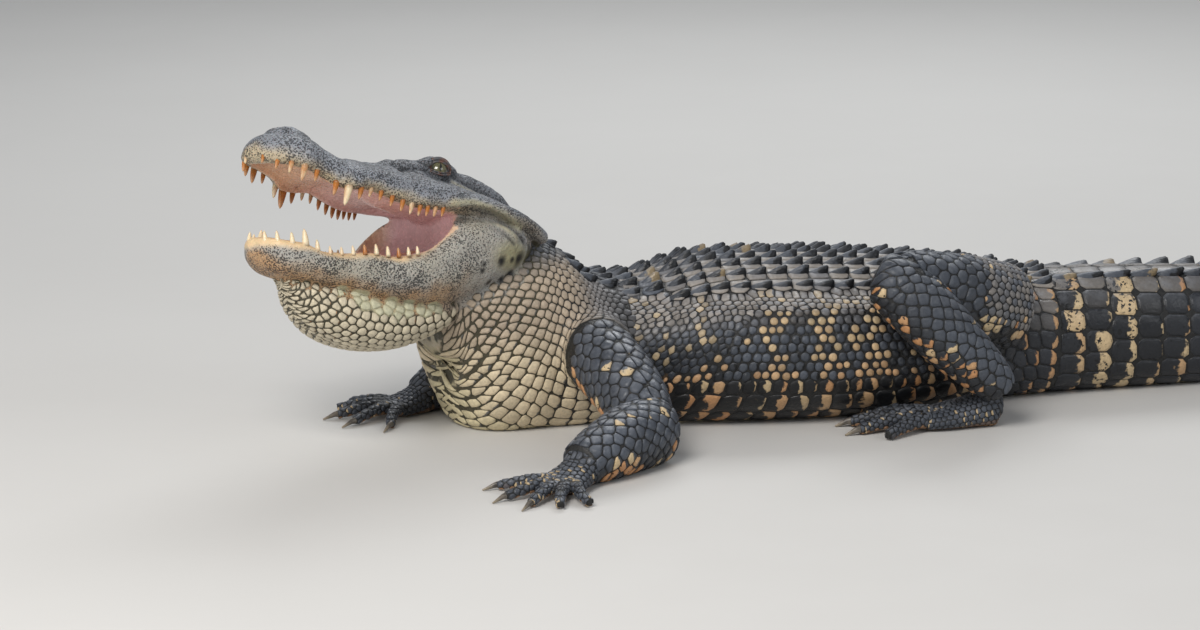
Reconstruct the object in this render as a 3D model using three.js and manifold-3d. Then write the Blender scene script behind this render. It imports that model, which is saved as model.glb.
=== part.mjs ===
// An American alligator at life size, lying on its belly with its head raised and its mouth open.
// Lengths are in millimetres. +Z is up, the head points to -X, the tail to +X, and the left side
// is on -Y. The origin is on the floor under the middle of the trunk.
import * as THREE from "three";
import { mergeVertices } from "three/addons/utils/BufferGeometryUtils.js";
import Module from "manifold-3d";

const wasm = await Module();
wasm.setup();

// Driving dimensions
const GAP = 0.3; // between neighbouring solids
const SINK = 4; // how deep a joined piece reaches into what it grows from
const TAIL_START = 330; // x of the tail's first ring
const TAIL_LENGTH = 1200;
const TAIL_RINGS = 37; // whorls of scales on the tail, each with its crest
const TAIL_CUTS = [0, 8, 16, 24, 31, 37]; // the whorls at which the tail is parted
const TAIL_DOUBLE_CREST = 18; // whorls with two crests before these join in one
const TAIL_BEND = 20; // degrees that the tail's line swings to the right side
const EYE_RADIUS = 12.5;
const EYE = { along: 112, aside: 43, above: 58 };
const HEAD_POSE = { at: [-335, -20, 198], yaw: 26, pitch: 21, roll: -11 };
const JAW_POSE = { at: [-349.5, -27.8, 196.8], yaw: 26, pitch: 9, roll: -11 };
const TEETH_UP = 16; // on each side of the upper jaw
const TEETH_LOW = 14; // on each side of the lower jaw

// Stations of the neck and trunk: x, y, z of the middle, half width, height above, depth below
const NECK = [
  [-408, -62, 132, 38, 42, 48],
  [-386, -54, 138, 66, 64, 92],
  [-345, -37, 134, 88, 86, 128],
  [-295, -18, 118, 100, 91, 142],
  [-240, -5, 98, 107, 70, 122],
  [-180, 0, 84, 116, 68, 98],
];
const TRUNK = [
  [-180, 0, 84, 116, 68, 98],
  [-90, 0, 78, 138, 101, 90],
  [20, 0, 76, 150, 104, 88],
  [130, 0, 76, 142, 97, 88],
  [210, 0, 74, 116, 90, 84],
  [270, 0, 72, 92, 82, 77],
  [TAIL_START + 4, 0, 68.6, 79, 76, 72],
];

// Stations of the upper head: distance forward, half width, top and bottom, in the head's frame
const MUZZLE = [
  [-30, 80, 34, 4],
  [2, 90, 40, 12],
  [40, 94, 45, 17],
  [85, 92, 49, 14],
  [118, 86, 52, 8],
  [150, 79, 51, 3],
  [178, 73, 49, 5],
  [206, 68, 46, 10],
  [230, 68, 44, 5],
  [248, 63, 45, 4],
  [266, 56, 50, 11],
  [286, 54, 56, 15],
  [304, 47, 54, 16],
  [319, 33, 47, 17],
  [328, 14, 38, 22],
];
const CRANIUM = [
  [-40, 44, 14, -26],
  [0, 53, 45, -16],
  [36, 53, 58, 0],
  [72, 50, 64, 6],
  [106, 49, 69, 8],
  [132, 42, 62, 9],
  [160, 28, 53, 10],
  [188, 14, 48, 20],
];
const NARES = { along: 284, above: 51, size: [25, 27, 12] };
const BROW = { along: 110, aside: 40, above: 60, size: [27, 12, 17] };

// Stations of the lower jaw and throat, in the jaw's frame
const MANDIBLE = [
  [-42, 60, 10, -10],
  [-22, 82, 22, -26],
  [4, 93, 34, -44],
  [34, 96, 38, -58],
  [64, 94, 36, -67],
  [86, 91, 22, -70],
  [104, 87, 6, -69],
  [124, 83, -3, -67],
  [150, 76, -7, -64],
  [178, 69, -4, -58],
  [206, 62, -6, -49],
  [230, 57, -5, -43],
  [250, 51, 3, -38],
  [268, 43, 5, -33],
  [281, 29, 7, -24],
  [289, 12, 5, -12],
];
const MOUTH = [
  [62, 50, 46, 0],
  [76, 70, 50, -16],
  [104, 70, 50, -28],
  [154, 58, 50, -32],
  [200, 46, 50, -32],
  [236, 37, 50, -26],
  [260, 26, 50, -18],
  [272, 14, 50, -8],
];
const TONGUE = [
  [68, 38, -2, -14],
  [94, 56, -8, -28],
  [140, 49, -12, -33],
  [186, 38, -14, -33],
  [216, 28, -16, -27],
  [230, 14, -18, -25],
];
const POUCH = [
  [256, 8, -34, -40],
  [247, 18, -30, -56],
  [233, 30, -30, -78],
  [211, 42, -32, -97],
  [186, 51, -36, -108],
  [156, 57, -40, -114],
  [124, 60, -44, -114],
  [94, 60, -46, -107],
  [62, 56, -46, -93],
  [36, 46, -46, -76],
];

// Stations of the left legs
const LEFT_ARM = [
  [-232, -70, 104, 40, 44, 44],
  [-214, -136, 84, 40, 42, 42],
  [-198, -192, 60, 38, 38, 38],
  [-190, -226, 42, 32, 32, 36],
];
const LEFT_FOREARM = [
  [-170, -226, 36, 14, 20, 28],
  [-182, -236, 37, 33, 33, 40],
  [-212, -262, 37, 38, 35, 40],
  [-252, -296, 31, 33, 30, 34],
  [-284, -320, 25, 25, 22, 26],
];
const LEFT_THIGH = [
  [262, -60, 106, 50, 56, 52],
  [205, -104, 130, 48, 53, 50],
  [148, -138, 158, 41, 40, 42],
  [112, -158, 173, 30, 30, 32],
];
const LEFT_SHANK = [
  [84, -164, 182, 16, 18, 18],
  [96, -168, 175, 33, 30, 32],
  [130, -176, 144, 40, 37, 38],
  [168, -182, 104, 38, 34, 36],
  [206, -184, 66, 29, 27, 28],
  [224, -182, 46, 24, 21, 22],
];
// Stations of the right legs: the foreleg reaches further forward, the hind leg lies lower
const RIGHT_ARM = [
  [-232, 70, 104, 40, 44, 44],
  [-250, 92, 82, 38, 41, 42],
  [-272, 104, 58, 35, 36, 38],
  [-288, 108, 42, 30, 30, 36],
];
const RIGHT_FOREARM = [
  [-276, 118, 38, 14, 20, 28],
  [-290, 108, 39, 31, 31, 40],
  [-322, 84, 38, 36, 33, 40],
  [-364, 50, 31, 31, 26, 32],
  [-394, 26, 24, 23, 19, 25],
];
const RIGHT_THIGH = [
  [262, 60, 98, 50, 50, 52],
  [212, 112, 94, 46, 43, 50],
  [164, 164, 86, 38, 34, 40],
  [130, 194, 78, 28, 28, 32],
];
const RIGHT_SHANK = [
  [104, 204, 80, 14, 18, 18],
  [116, 206, 77, 31, 28, 32],
  [152, 216, 66, 37, 32, 38],
  [194, 224, 50, 33, 28, 34],
  [228, 226, 38, 26, 22, 28],
  [242, 224, 32, 22, 20, 24],
];

// Feet: a heading of 0 points to -X and 90 to the animal's left
const HAND = {
  palm: 46,
  halfWidth: 27,
  height: 20,
  digits: [
    { spread: -40, length: 48, claw: true },
    { spread: -15, length: 60, claw: true },
    { spread: 5, length: 62, claw: true },
    { spread: 22, length: 57, claw: false },
    { spread: 40, length: 46, claw: false },
  ],
  digitRadius: 8.5,
};
const FOOT = {
  palm: 84,
  halfWidth: 33,
  height: 22,
  digits: [
    { spread: -17, length: 62, claw: true },
    { spread: -5, length: 82, claw: true },
    { spread: 8, length: 82, claw: true },
    { spread: 21, length: 66, claw: false },
  ],
  digitRadius: 10,
};
const CLAW_LENGTH = 19;
const LEFT_WRIST = { at: [-278, -316, 24], heading: 42, side: 1 };
const RIGHT_WRIST = { at: [-388, 30, 24], heading: -14, side: -1 };
const LEFT_HEEL = { at: [228, -158, 24], heading: -1, side: 1 };
const RIGHT_HEEL = { at: [250, 216, 24], heading: 22, side: -1 };

const COLOURS = {
  head: { color: 0x777d80, roughness: 0.55 },
  throat: { color: 0xb9b491, roughness: 0.6 },
  back: { color: 0x2c343c, roughness: 0.5 },
  tongue: { color: 0xb07a72, roughness: 0.4 },
  eye: { color: 0x4a4a2c, roughness: 0.1 },
  claw: { color: 0x5b5348, roughness: 0.35 },
};

const UP = new THREE.Vector3(0, 0, 1);
const FORWARD = new THREE.Vector3(-1, 0, 0);
const BACKWARD = new THREE.Vector3(1, 0, 0);
const RADIANS = Math.PI / 180;

// Small helpers for solids
function solidOf(geometry) {
  const bare = geometry.clone();
  bare.deleteAttribute("normal");
  bare.deleteAttribute("uv");
  const merged = mergeVertices(bare, 1e-3);
  return new wasm.Manifold(
    new wasm.Mesh({
      numProp: 3,
      vertProperties: merged.attributes.position.array,
      triVerts: new Uint32Array(merged.index.array),
    }),
  );
}

function largest(solid) {
  const bodies = solid.decompose();
  bodies.sort((one, other) => other.volume() - one.volume());
  return bodies[0];
}

function geometryOf(solid) {
  const mesh = solid.getMesh();
  const positions = new Float32Array(mesh.numVert * 3);
  for (let i = 0; i < mesh.numVert; i++) {
    const start = i * mesh.numProp;
    positions.set(mesh.vertProperties.subarray(start, start + 3), i * 3);
  }
  const geometry = new THREE.BufferGeometry();
  geometry.setAttribute("position", new THREE.BufferAttribute(positions, 3));
  geometry.setIndex(new THREE.BufferAttribute(new Uint32Array(mesh.triVerts), 1));
  geometry.computeVertexNormals();
  return geometry;
}

function curveThrough(stations, first) {
  const points = stations.map((s) => new THREE.Vector3(s[first], s[first + 1], s[first + 2]));
  return new THREE.CatmullRomCurve3(points, false, "catmullrom", 0.5);
}

// A rounded square: power 2 is an ellipse, and more is squarer.
function rounded(value, power) {
  return Math.sign(value) * Math.abs(value) ** (2 / power);
}

// A closed body through rings along its stations. It is a sphere's grid of points, moved so that
// each row is one ring and the two poles are the middles of the ends. The rings stand square to
// the line of stations, or all face one way where the shape says so.
function loft(stations, shape, grow = 0) {
  const { sides, rings, topPower = 2.2, lowPower = 2.4 } = shape;
  const { from = 0, to = 1, onFloor = false, facing = null } = shape;
  const middles = curveThrough(stations, 0);
  const sizes = curveThrough(stations, 3);
  const geometry = new THREE.SphereGeometry(1, sides, rings + 1);
  const points = geometry.attributes.position;
  for (let row = 0; row <= rings + 1; row++) {
    const ring = Math.min(Math.max(row - 1, 0), rings - 1);
    const along = from + ((to - from) * ring) / (rings - 1);
    const middle = middles.getPoint(along);
    const size = sizes.getPoint(along);
    const ahead = facing ?? middles.getTangent(along);
    const aside = UP.clone().cross(ahead).normalize();
    const above = ahead.clone().cross(aside);
    const endShift = ring === 0 ? -1 : ring === rings - 1 ? 1 : 0;
    middle.addScaledVector(ahead, endShift * grow);
    const isPole = row === 0 || row === rings + 1;
    for (let i = 0; i <= sides; i++) {
      const angle = (2 * Math.PI * (i % sides)) / sides;
      const x = -Math.cos(angle);
      const y = Math.sin(angle);
      const power = y > 0 ? topPower : lowPower;
      const height = (y > 0 ? size.y : size.z) + grow;
      const point = middle.clone();
      if (!isPole) {
        point.addScaledVector(aside, rounded(x, power) * (size.x + grow));
        point.addScaledVector(above, rounded(y, power) * height);
      }
      if (onFloor) point.z = Math.max(point.z, 0);
      points.setXYZ(row * (sides + 1) + i, point.x, point.y, point.z);
    }
  }
  return solidOf(geometry);
}

function ball(radius, size, at, sides, rows) {
  const geometry = new THREE.SphereGeometry(radius, sides, rows);
  geometry.scale(...size);
  geometry.translate(...at);
  return solidOf(geometry);
}

// The frames of the head and the jaw: -X forward, -Y left and +Z up, as for the whole animal
function frameOf({ at, yaw, pitch, roll }) {
  const group = new THREE.Group();
  group.position.set(...at);
  group.rotation.set(roll * RADIANS, pitch * RADIANS, yaw * RADIANS, "ZYX");
  group.updateMatrixWorld(true);
  return group;
}

function inWorld(solid, frame) {
  return solidOf(geometryOf(solid).applyMatrix4(frame.matrixWorld));
}

const alligator = new THREE.Group();
const head = frameOf(HEAD_POSE);
const jaw = frameOf(JAW_POSE);
alligator.add(head, jaw);

function addMesh(name, solid, colour, frame = alligator) {
  const geometry = geometryOf(solid);
  if (frame !== alligator) geometry.applyMatrix4(frame.matrixWorld.clone().invert());
  const mesh = new THREE.Mesh(geometry, new THREE.MeshStandardMaterial(COLOURS[colour]));
  mesh.name = name;
  frame.add(mesh);
}

// Stations given as distance forward, half width, top and bottom, widest a share of the way up
function upright(rows, widest) {
  return rows.map(([along, halfWidth, top, bottom]) => {
    const middle = bottom + (top - bottom) * widest;
    return [-along, 0, middle, halfWidth, top - middle, middle - bottom];
  });
}

// The value of a column of rows at a distance forward, on a straight line between rows
function columnAt(rows, along, column) {
  const next = rows.findIndex((row) => row[0] >= along);
  const [low, high] = [rows[Math.max(next - 1, 0)], rows[Math.max(next, 1)]];
  const share = (along - low[0]) / (high[0] - low[0]);
  return THREE.MathUtils.lerp(low[column], high[column], share);
}

// Teeth along a jaw's edge. A tooth is a three-sided cone whose root is sunk in the jaw.
function tooth(at, radius, length, direction) {
  const geometry = new THREE.ConeGeometry(radius, length + SINK, 3);
  geometry.rotateX((direction * Math.PI) / 2);
  geometry.translate(0, 0, (direction * (length - SINK)) / 2);
  geometry.translate(...at);
  return solidOf(geometry);
}

function teeth(rows, count, front, back, column, direction, lengthAt) {
  const row = [];
  for (let i = 0; i < count; i++) {
    const along = THREE.MathUtils.lerp(front, back, i / (count - 1));
    const inset = 7;
    const aside = columnAt(rows, along, 1) - inset;
    const edge = columnAt(rows, along, column) - direction * 1.5;
    for (const side of [-1, 1]) {
      row.push(tooth([-along, side * aside, edge], 3.1, lengthAt(along), direction));
    }
  }
  return row;
}

function upperToothLength(along) {
  const fang = 9 * Math.exp(-(((along - 243) / 12) ** 2));
  const incisor = 6 * Math.exp(-(((along - 300) / 14) ** 2));
  return 6 + fang + incisor;
}

function lowerToothLength(along) {
  const fang = 8 * Math.exp(-(((along - 243) / 12) ** 2));
  const incisor = 6 * Math.exp(-(((along - 286) / 14) ** 2));
  return 5 + fang + incisor;
}

// Head
function headSolid(grow) {
  const muzzle = loft(
    upright(MUZZLE, 0.34),
    { sides: 14, rings: 15, topPower: 2.3, lowPower: 3, facing: FORWARD },
    grow,
  );
  const cranium = loft(
    upright(CRANIUM, 0.6),
    { sides: 12, rings: 7, topPower: 3.4, lowPower: 2.2, facing: FORWARD },
    grow,
  );
  const nares = ball(
    1,
    NARES.size.map((s) => s + grow),
    [-NARES.along, 0, NARES.above],
    8,
    5,
  );
  let whole = muzzle.add(cranium).add(nares);
  for (const side of [-1, 1]) {
    const at = [-BROW.along, side * BROW.aside, BROW.above];
    whole = whole.add(
      ball(
        1,
        BROW.size.map((s) => s + grow),
        at,
        8,
        5,
      ),
    );
  }
  return whole;
}

function eyeSolid(side, grow) {
  const at = [-EYE.along, side * EYE.aside, EYE.above];
  return ball(EYE_RADIUS + grow, [1, 1, 1], at, 8, 6);
}

const headShell = inWorld(headSolid(GAP), head);
let upperHead = headSolid(0);
for (const side of [-1, 1]) upperHead = upperHead.subtract(eyeSolid(side, GAP));
for (const one of teeth(MUZZLE, TEETH_UP, 312, 122, 3, -1, upperToothLength)) {
  upperHead = upperHead.add(one);
}
addMesh("head", inWorld(largest(upperHead), head), "head", head);
addMesh("eye_left", inWorld(eyeSolid(-1, 0), head), "eye", head);
addMesh("eye_right", inWorld(eyeSolid(1, 0), head), "eye", head);

// Lower jaw, tongue and throat
const MANDIBLE_SHAPE = { sides: 14, rings: 15, topPower: 3, lowPower: 2.4, facing: FORWARD };
const MOUTH_SHAPE = { sides: 10, rings: 8, topPower: 4, lowPower: 2.6, facing: FORWARD };
const mandibleRows = upright(MANDIBLE, 0.62);
const jawShell = inWorld(loft(mandibleRows, MANDIBLE_SHAPE, GAP), jaw);
const mouth = loft(upright(MOUTH, 0.5), MOUTH_SHAPE);
let lowerJaw = loft(mandibleRows, MANDIBLE_SHAPE).subtract(mouth);
for (const one of teeth(MANDIBLE, TEETH_LOW, 278, 128, 2, 1, lowerToothLength)) {
  lowerJaw = lowerJaw.add(one);
}
const lowerJawInWorld = inWorld(lowerJaw, jaw).subtract(headShell);
addMesh("jaw", largest(lowerJawInWorld), "head", jaw);

const tongueInMouth = loft(upright(TONGUE, 0.5), { sides: 10, rings: 7, facing: FORWARD });
const mouthLining = loft(mandibleRows, MANDIBLE_SHAPE, GAP).subtract(
  loft(upright(MOUTH, 0.5), MOUTH_SHAPE, -GAP),
);
addMesh("tongue", inWorld(largest(tongueInMouth.subtract(mouthLining)), jaw), "tongue", jaw);

const NECK_SHAPE = { sides: 14, rings: 9, topPower: 2.2, lowPower: 2.2, onFloor: true };
const neckShell = loft(NECK, NECK_SHAPE, GAP);
const pouch = inWorld(loft(upright(POUCH, 0.5), { sides: 12, rings: 10, facing: BACKWARD }), jaw);
addMesh("throat", largest(pouch.subtract(jawShell).subtract(neckShell)), "throat");

// Neck and trunk
const TRUNK_SHAPE = { sides: 20, rings: 10, topPower: 2.2, lowPower: 2.6, onFloor: true };
const trunkShell = loft(TRUNK, TRUNK_SHAPE, GAP);
const neck = loft(NECK, NECK_SHAPE).subtract(headShell).subtract(jawShell).subtract(trunkShell);
addMesh("neck", largest(neck), "throat");
addMesh("trunk", loft(TRUNK, TRUNK_SHAPE), "back");

// Tail: its line, the size of its body and its crest, each by its share of the way to the tip
function tailHeight(share) {
  return 10 + 131 * (1 - share ** 1.7);
}

function tailHalfWidth(share) {
  return 4 + 72 * (1 - share) ** 1.45;
}

function crestHeight(share) {
  return 11 + 26 * Math.sin(Math.PI * share ** 0.85);
}

function tailStations(steps) {
  const stations = [];
  let [x, y] = [TAIL_START - TAIL_LENGTH / steps, 0];
  for (let i = 0; i <= steps; i++) {
    const share = i / steps;
    const swing = Math.max(0, (share - 0.15) / 0.85);
    const heading = TAIL_BEND * RADIANS * Math.sin(Math.PI * swing);
    x += (TAIL_LENGTH / steps) * Math.cos(heading);
    y += (TAIL_LENGTH / steps) * Math.sin(heading);
    const half = tailHeight(share) / 2;
    stations.push([x, y, half * 0.96, tailHalfWidth(share), half * 1.04, half]);
  }
  return stations;
}

// One scale of the crest: a thin four-sided blade that leans back
function crestScale(middle, heading, height, length) {
  const geometry = new THREE.ConeGeometry(1, 1, 4);
  geometry.rotateX(Math.PI / 2);
  const points = geometry.attributes.position;
  for (let i = 0; i < points.count; i++) {
    const rise = points.getZ(i) + 0.5;
    const lean = 0.62 * length * rise;
    const thickness = 5;
    points.setXYZ(
      i,
      (points.getX(i) * length) / 2 + lean,
      points.getY(i) * thickness,
      rise * (height + SINK) - SINK,
    );
  }
  geometry.rotateZ(heading);
  geometry.translate(middle.x, middle.y, middle.z);
  return solidOf(geometry);
}

const TAIL_SHAPE = { sides: 12, rings: 6, topPower: 2.1, lowPower: 2.6, onFloor: true };
const tailRows = tailStations(20);
const tailMiddles = curveThrough(tailRows, 0);
const tailSizes = curveThrough(tailRows, 3);
const whorlLength = TAIL_LENGTH / TAIL_RINGS;
for (let part = 1; part < TAIL_CUTS.length; part++) {
  const inset = GAP / 2 / TAIL_LENGTH;
  const from = TAIL_CUTS[part - 1] / TAIL_RINGS + inset;
  const to = TAIL_CUTS[part] / TAIL_RINGS - inset;
  const shape = { ...TAIL_SHAPE, from, to };
  let length = loft(tailRows, shape);
  for (let ring = TAIL_CUTS[part - 1]; ring < TAIL_CUTS[part]; ring++) {
    const share = (ring + 0.5) / TAIL_RINGS;
    const isDouble = ring < TAIL_DOUBLE_CREST;
    const aside = isDouble ? 24 * (1 - ring / TAIL_DOUBLE_CREST) + 5 : 0;
    const middle = tailMiddles.getPoint(share);
    const ahead = tailMiddles.getTangent(share);
    const across = UP.clone().cross(ahead).normalize();
    const above = ahead.clone().cross(across);
    const heading = Math.atan2(ahead.y, ahead.x);
    const size = tailSizes.getPoint(share);
    const drop = size.y * (1 - (1 - (aside / size.x) ** 2.1) ** (1 / 2.1));
    for (const side of isDouble ? [-1, 1] : [0]) {
      const top = middle.clone().addScaledVector(across, aside * side);
      top.addScaledVector(above, size.y - drop - 1);
      length = length.add(crestScale(top, heading, crestHeight(share), 0.92 * whorlLength));
    }
  }
  if (part === 1) length = length.subtract(trunkShell);
  addMesh("tail_" + part, largest(length), "back");
}

// Legs
const LIMB_SHAPE = { sides: 10, rings: 6, topPower: 2.1, lowPower: 2.1, onFloor: true };

function pointAt({ at, heading, side }, spread, distance, height) {
  const angle = (heading + spread) * RADIANS;
  return [
    at[0] - Math.cos(angle) * distance,
    at[1] - side * Math.sin(angle) * distance,
    height,
  ];
}

function digitStations(root, kind, digit) {
  const radius = kind.digitRadius;
  const start = kind.palm * 0.62;
  const end = kind.palm + digit.length;
  return [0, 0.45, 0.8, 1].map((share) => {
    const bend = digit.spread * (0.45 + 0.55 * share);
    const distance = start + (end - start) * share;
    const thick = radius * (1 - 0.42 * share);
    const arch = 5 * Math.sin(Math.PI * share);
    return [...pointAt(root, bend, distance, thick + arch), thick, thick, thick];
  });
}

function clawStations(root, kind, digit) {
  const end = kind.palm + digit.length;
  const radius = kind.digitRadius * 0.46;
  return [0, 0.5, 1].map((share) => {
    const distance = end - SINK / 2 + CLAW_LENGTH * share;
    const thick = radius * (1 - 0.72 * share);
    const rise = radius + 2.2 * Math.sin(Math.PI * (0.25 + 0.75 * share)) * (1 - share);
    const height = Math.max(rise * (1 - share) + thick * share, thick);
    return [...pointAt(root, digit.spread, distance, height), thick * 0.8, thick, thick];
  });
}

function palmStations(root, kind) {
  const { palm, halfWidth, height } = kind;
  return [
    [...pointAt(root, 0, -6, height * 0.9), halfWidth * 0.4, height * 0.5, height * 0.5],
    [...pointAt(root, 0, 6, height * 0.95), halfWidth * 0.76, height * 0.85, height],
    [...pointAt(root, 0, palm * 0.35, height * 0.74), halfWidth * 0.86, height * 0.72, height * 0.78],
    [...pointAt(root, 0, palm * 0.75, height * 0.52), halfWidth, height * 0.5, height * 0.56],
    [...pointAt(root, 0, palm * 1.04, height * 0.4), halfWidth * 0.94, height * 0.34, height * 0.42],
  ];
}

function pawSolid(root, kind, grow) {
  let paw = loft(palmStations(root, kind), { sides: 8, rings: 5, onFloor: true }, grow);
  for (const digit of kind.digits) {
    const stations = digitStations(root, kind, digit);
    paw = paw.add(loft(stations, { sides: 5, rings: 4, onFloor: true }, grow));
  }
  return paw;
}

function addLeg(name, upperName, lowerName, pawName, { upper, lower, root, kind, clear }) {
  const upperShell = loft(upper, LIMB_SHAPE, GAP);
  const lowerShell = loft(lower, LIMB_SHAPE, GAP);
  let upperSolid = loft(upper, LIMB_SHAPE);
  let lowerSolid = loft(lower, LIMB_SHAPE).subtract(upperShell);
  let paw = pawSolid(root, kind, 0).subtract(lowerShell).subtract(upperShell);
  for (const shell of clear) {
    upperSolid = upperSolid.subtract(shell);
    lowerSolid = lowerSolid.subtract(shell);
    paw = paw.subtract(shell);
  }
  addMesh(name + "_" + upperName, largest(upperSolid), "back");
  addMesh(name + "_" + lowerName, largest(lowerSolid), "back");
  addMesh(name + "_" + pawName, largest(paw), "back");
  const pawShell = pawSolid(root, kind, GAP);
  kind.digits.forEach((digit, i) => {
    if (!digit.claw) return;
    let claw = loft(clawStations(root, kind, digit), { sides: 4, rings: 3, onFloor: true });
    for (const shell of [pawShell, ...clear]) claw = claw.subtract(shell);
    addMesh(name + "_claw_" + (i + 1), largest(claw), "claw");
  });
}

const tailShell = loft(tailRows, { ...TAIL_SHAPE, to: TAIL_CUTS[1] / TAIL_RINGS }, GAP);
const body = [trunkShell, neckShell, jawShell, tailShell];
addLeg("left_foreleg", "upper_arm", "forearm", "hand", {
  upper: LEFT_ARM,
  lower: LEFT_FOREARM,
  root: LEFT_WRIST,
  kind: HAND,
  clear: body,
});
addLeg("right_foreleg", "upper_arm", "forearm", "hand", {
  upper: RIGHT_ARM,
  lower: RIGHT_FOREARM,
  root: RIGHT_WRIST,
  kind: HAND,
  clear: body,
});
addLeg("left_hindleg", "thigh", "shank", "foot", {
  upper: LEFT_THIGH,
  lower: LEFT_SHANK,
  root: LEFT_HEEL,
  kind: FOOT,
  clear: body,
});
addLeg("right_hindleg", "thigh", "shank", "foot", {
  upper: RIGHT_THIGH,
  lower: RIGHT_SHANK,
  root: RIGHT_HEEL,
  kind: FOOT,
  clear: body,
});

export default alligator;
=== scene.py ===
import math

import bpy
import numpy as np
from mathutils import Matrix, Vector
from mathutils.bvhtree import BVHTree
from mathutils.kdtree import KDTree


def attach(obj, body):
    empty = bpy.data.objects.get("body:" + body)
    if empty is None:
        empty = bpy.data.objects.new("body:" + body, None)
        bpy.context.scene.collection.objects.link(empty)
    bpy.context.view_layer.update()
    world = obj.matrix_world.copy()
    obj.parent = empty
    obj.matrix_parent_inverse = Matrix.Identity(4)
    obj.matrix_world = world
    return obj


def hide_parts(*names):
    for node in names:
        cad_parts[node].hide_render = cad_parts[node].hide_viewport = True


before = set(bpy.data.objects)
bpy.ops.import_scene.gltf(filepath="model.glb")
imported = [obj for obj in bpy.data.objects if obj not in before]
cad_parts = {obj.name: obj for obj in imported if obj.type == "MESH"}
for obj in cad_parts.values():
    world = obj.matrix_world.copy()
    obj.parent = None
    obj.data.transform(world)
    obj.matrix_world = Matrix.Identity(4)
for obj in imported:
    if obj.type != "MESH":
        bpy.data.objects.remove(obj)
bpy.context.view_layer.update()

MM = 0.001
rng = np.random.default_rng(11)

# Sizes
VOXEL = 0.0028
SKIN_TRIANGLES = 190000
SKIN_DEPTH = 1.6 * MM  # how far the skin lies inside the tips of the scales
ARMOUR_DEPTH = 11 * MM  # and inside the tips of the back's keels
FLOOR_SKIN = 1.3 * MM  # height of the skin over the floor where the animal lies on it
TAIL_START = 330
TAIL_LENGTH = 1200
TAIL_WHORLS = 37
TAIL_DOUBLE_CREST = 18
TAIL_BEND = 20
EYE_RADIUS = 12.5
EYE = np.array([-112.0, 43.0, 58.0])
HEAD_POSE = ((-335, -20, 198), (26, 21, -11))
JAW_POSE = ((-349.5, -27.8, 196.8), (26, 9, -11))

# Stations of the neck and trunk: x, y, z of the middle, half width, height above, depth below
NECK = [
    [-408, -62, 132, 38, 42, 48],
    [-386, -54, 138, 66, 64, 92],
    [-345, -37, 134, 88, 86, 128],
    [-295, -18, 118, 100, 91, 142],
    [-240, -5, 98, 107, 70, 122],
    [-180, 0, 84, 116, 68, 98],
]
TRUNK = [
    [-180, 0, 84, 116, 68, 98],
    [-90, 0, 78, 138, 101, 90],
    [20, 0, 76, 150, 104, 88],
    [130, 0, 76, 142, 97, 88],
    [210, 0, 74, 116, 90, 84],
    [270, 0, 72, 92, 82, 77],
    [334, 0, 68.6, 79, 76, 72],
]

# Stations of the upper head: distance forward, half width, top and bottom, in the head's frame
MUZZLE = [
    [-30, 80, 34, 4],
    [2, 90, 40, 12],
    [40, 94, 45, 17],
    [85, 92, 49, 14],
    [118, 86, 52, 8],
    [150, 79, 51, 3],
    [178, 73, 49, 5],
    [206, 68, 46, 10],
    [230, 68, 44, 5],
    [248, 63, 45, 4],
    [266, 56, 50, 11],
    [286, 54, 56, 15],
    [304, 47, 54, 16],
    [319, 33, 47, 17],
    [328, 14, 38, 22],
]
PALATE = [
    [96, 50, 20, -30],
    [118, 72, 21, -30],
    [150, 65, 17, -30],
    [178, 60, 18, -30],
    [206, 55, 22, -30],
    [230, 54, 19, -30],
    [248, 50, 18, -30],
    [266, 43, 23, -30],
    [286, 40, 27, -30],
    [304, 32, 27, -30],
    [314, 18, 25, -30],
]
CRANIUM = [
    [-40, 44, 14, -26],
    [0, 53, 45, -16],
    [36, 53, 58, 0],
    [72, 50, 64, 6],
    [106, 49, 69, 8],
    [132, 42, 62, 9],
    [160, 28, 53, 10],
    [188, 14, 48, 20],
]

# Stations of the lower jaw and throat, in the jaw's frame
MANDIBLE = [
    [-42, 60, 10, -10],
    [-22, 82, 22, -26],
    [4, 93, 34, -44],
    [34, 96, 38, -58],
    [64, 94, 36, -67],
    [86, 91, 22, -70],
    [104, 87, 6, -69],
    [124, 83, -3, -67],
    [150, 76, -7, -64],
    [178, 69, -4, -58],
    [206, 62, -6, -49],
    [230, 57, -5, -43],
    [250, 51, 3, -38],
    [268, 43, 5, -33],
    [281, 29, 7, -24],
    [289, 12, 5, -12],
]
MOUTH = [
    [62, 50, 46, 0],
    [76, 70, 50, -16],
    [104, 72, 50, -28],
    [154, 62, 50, -32],
    [200, 50, 50, -32],
    [236, 41, 50, -26],
    [260, 30, 50, -18],
    [274, 16, 50, -8],
]
TONGUE = [
    [68, 38, -2, -14],
    [94, 56, -8, -28],
    [140, 49, -12, -33],
    [186, 38, -14, -33],
    [216, 28, -16, -27],
    [230, 14, -18, -25],
]
POUCH = [
    [256, 8, -34, -40],
    [247, 18, -30, -56],
    [233, 30, -30, -78],
    [211, 42, -32, -97],
    [186, 51, -36, -108],
    [156, 57, -40, -114],
    [124, 60, -44, -114],
    [94, 60, -46, -107],
    [62, 56, -46, -93],
    [36, 46, -46, -76],
]

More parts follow.
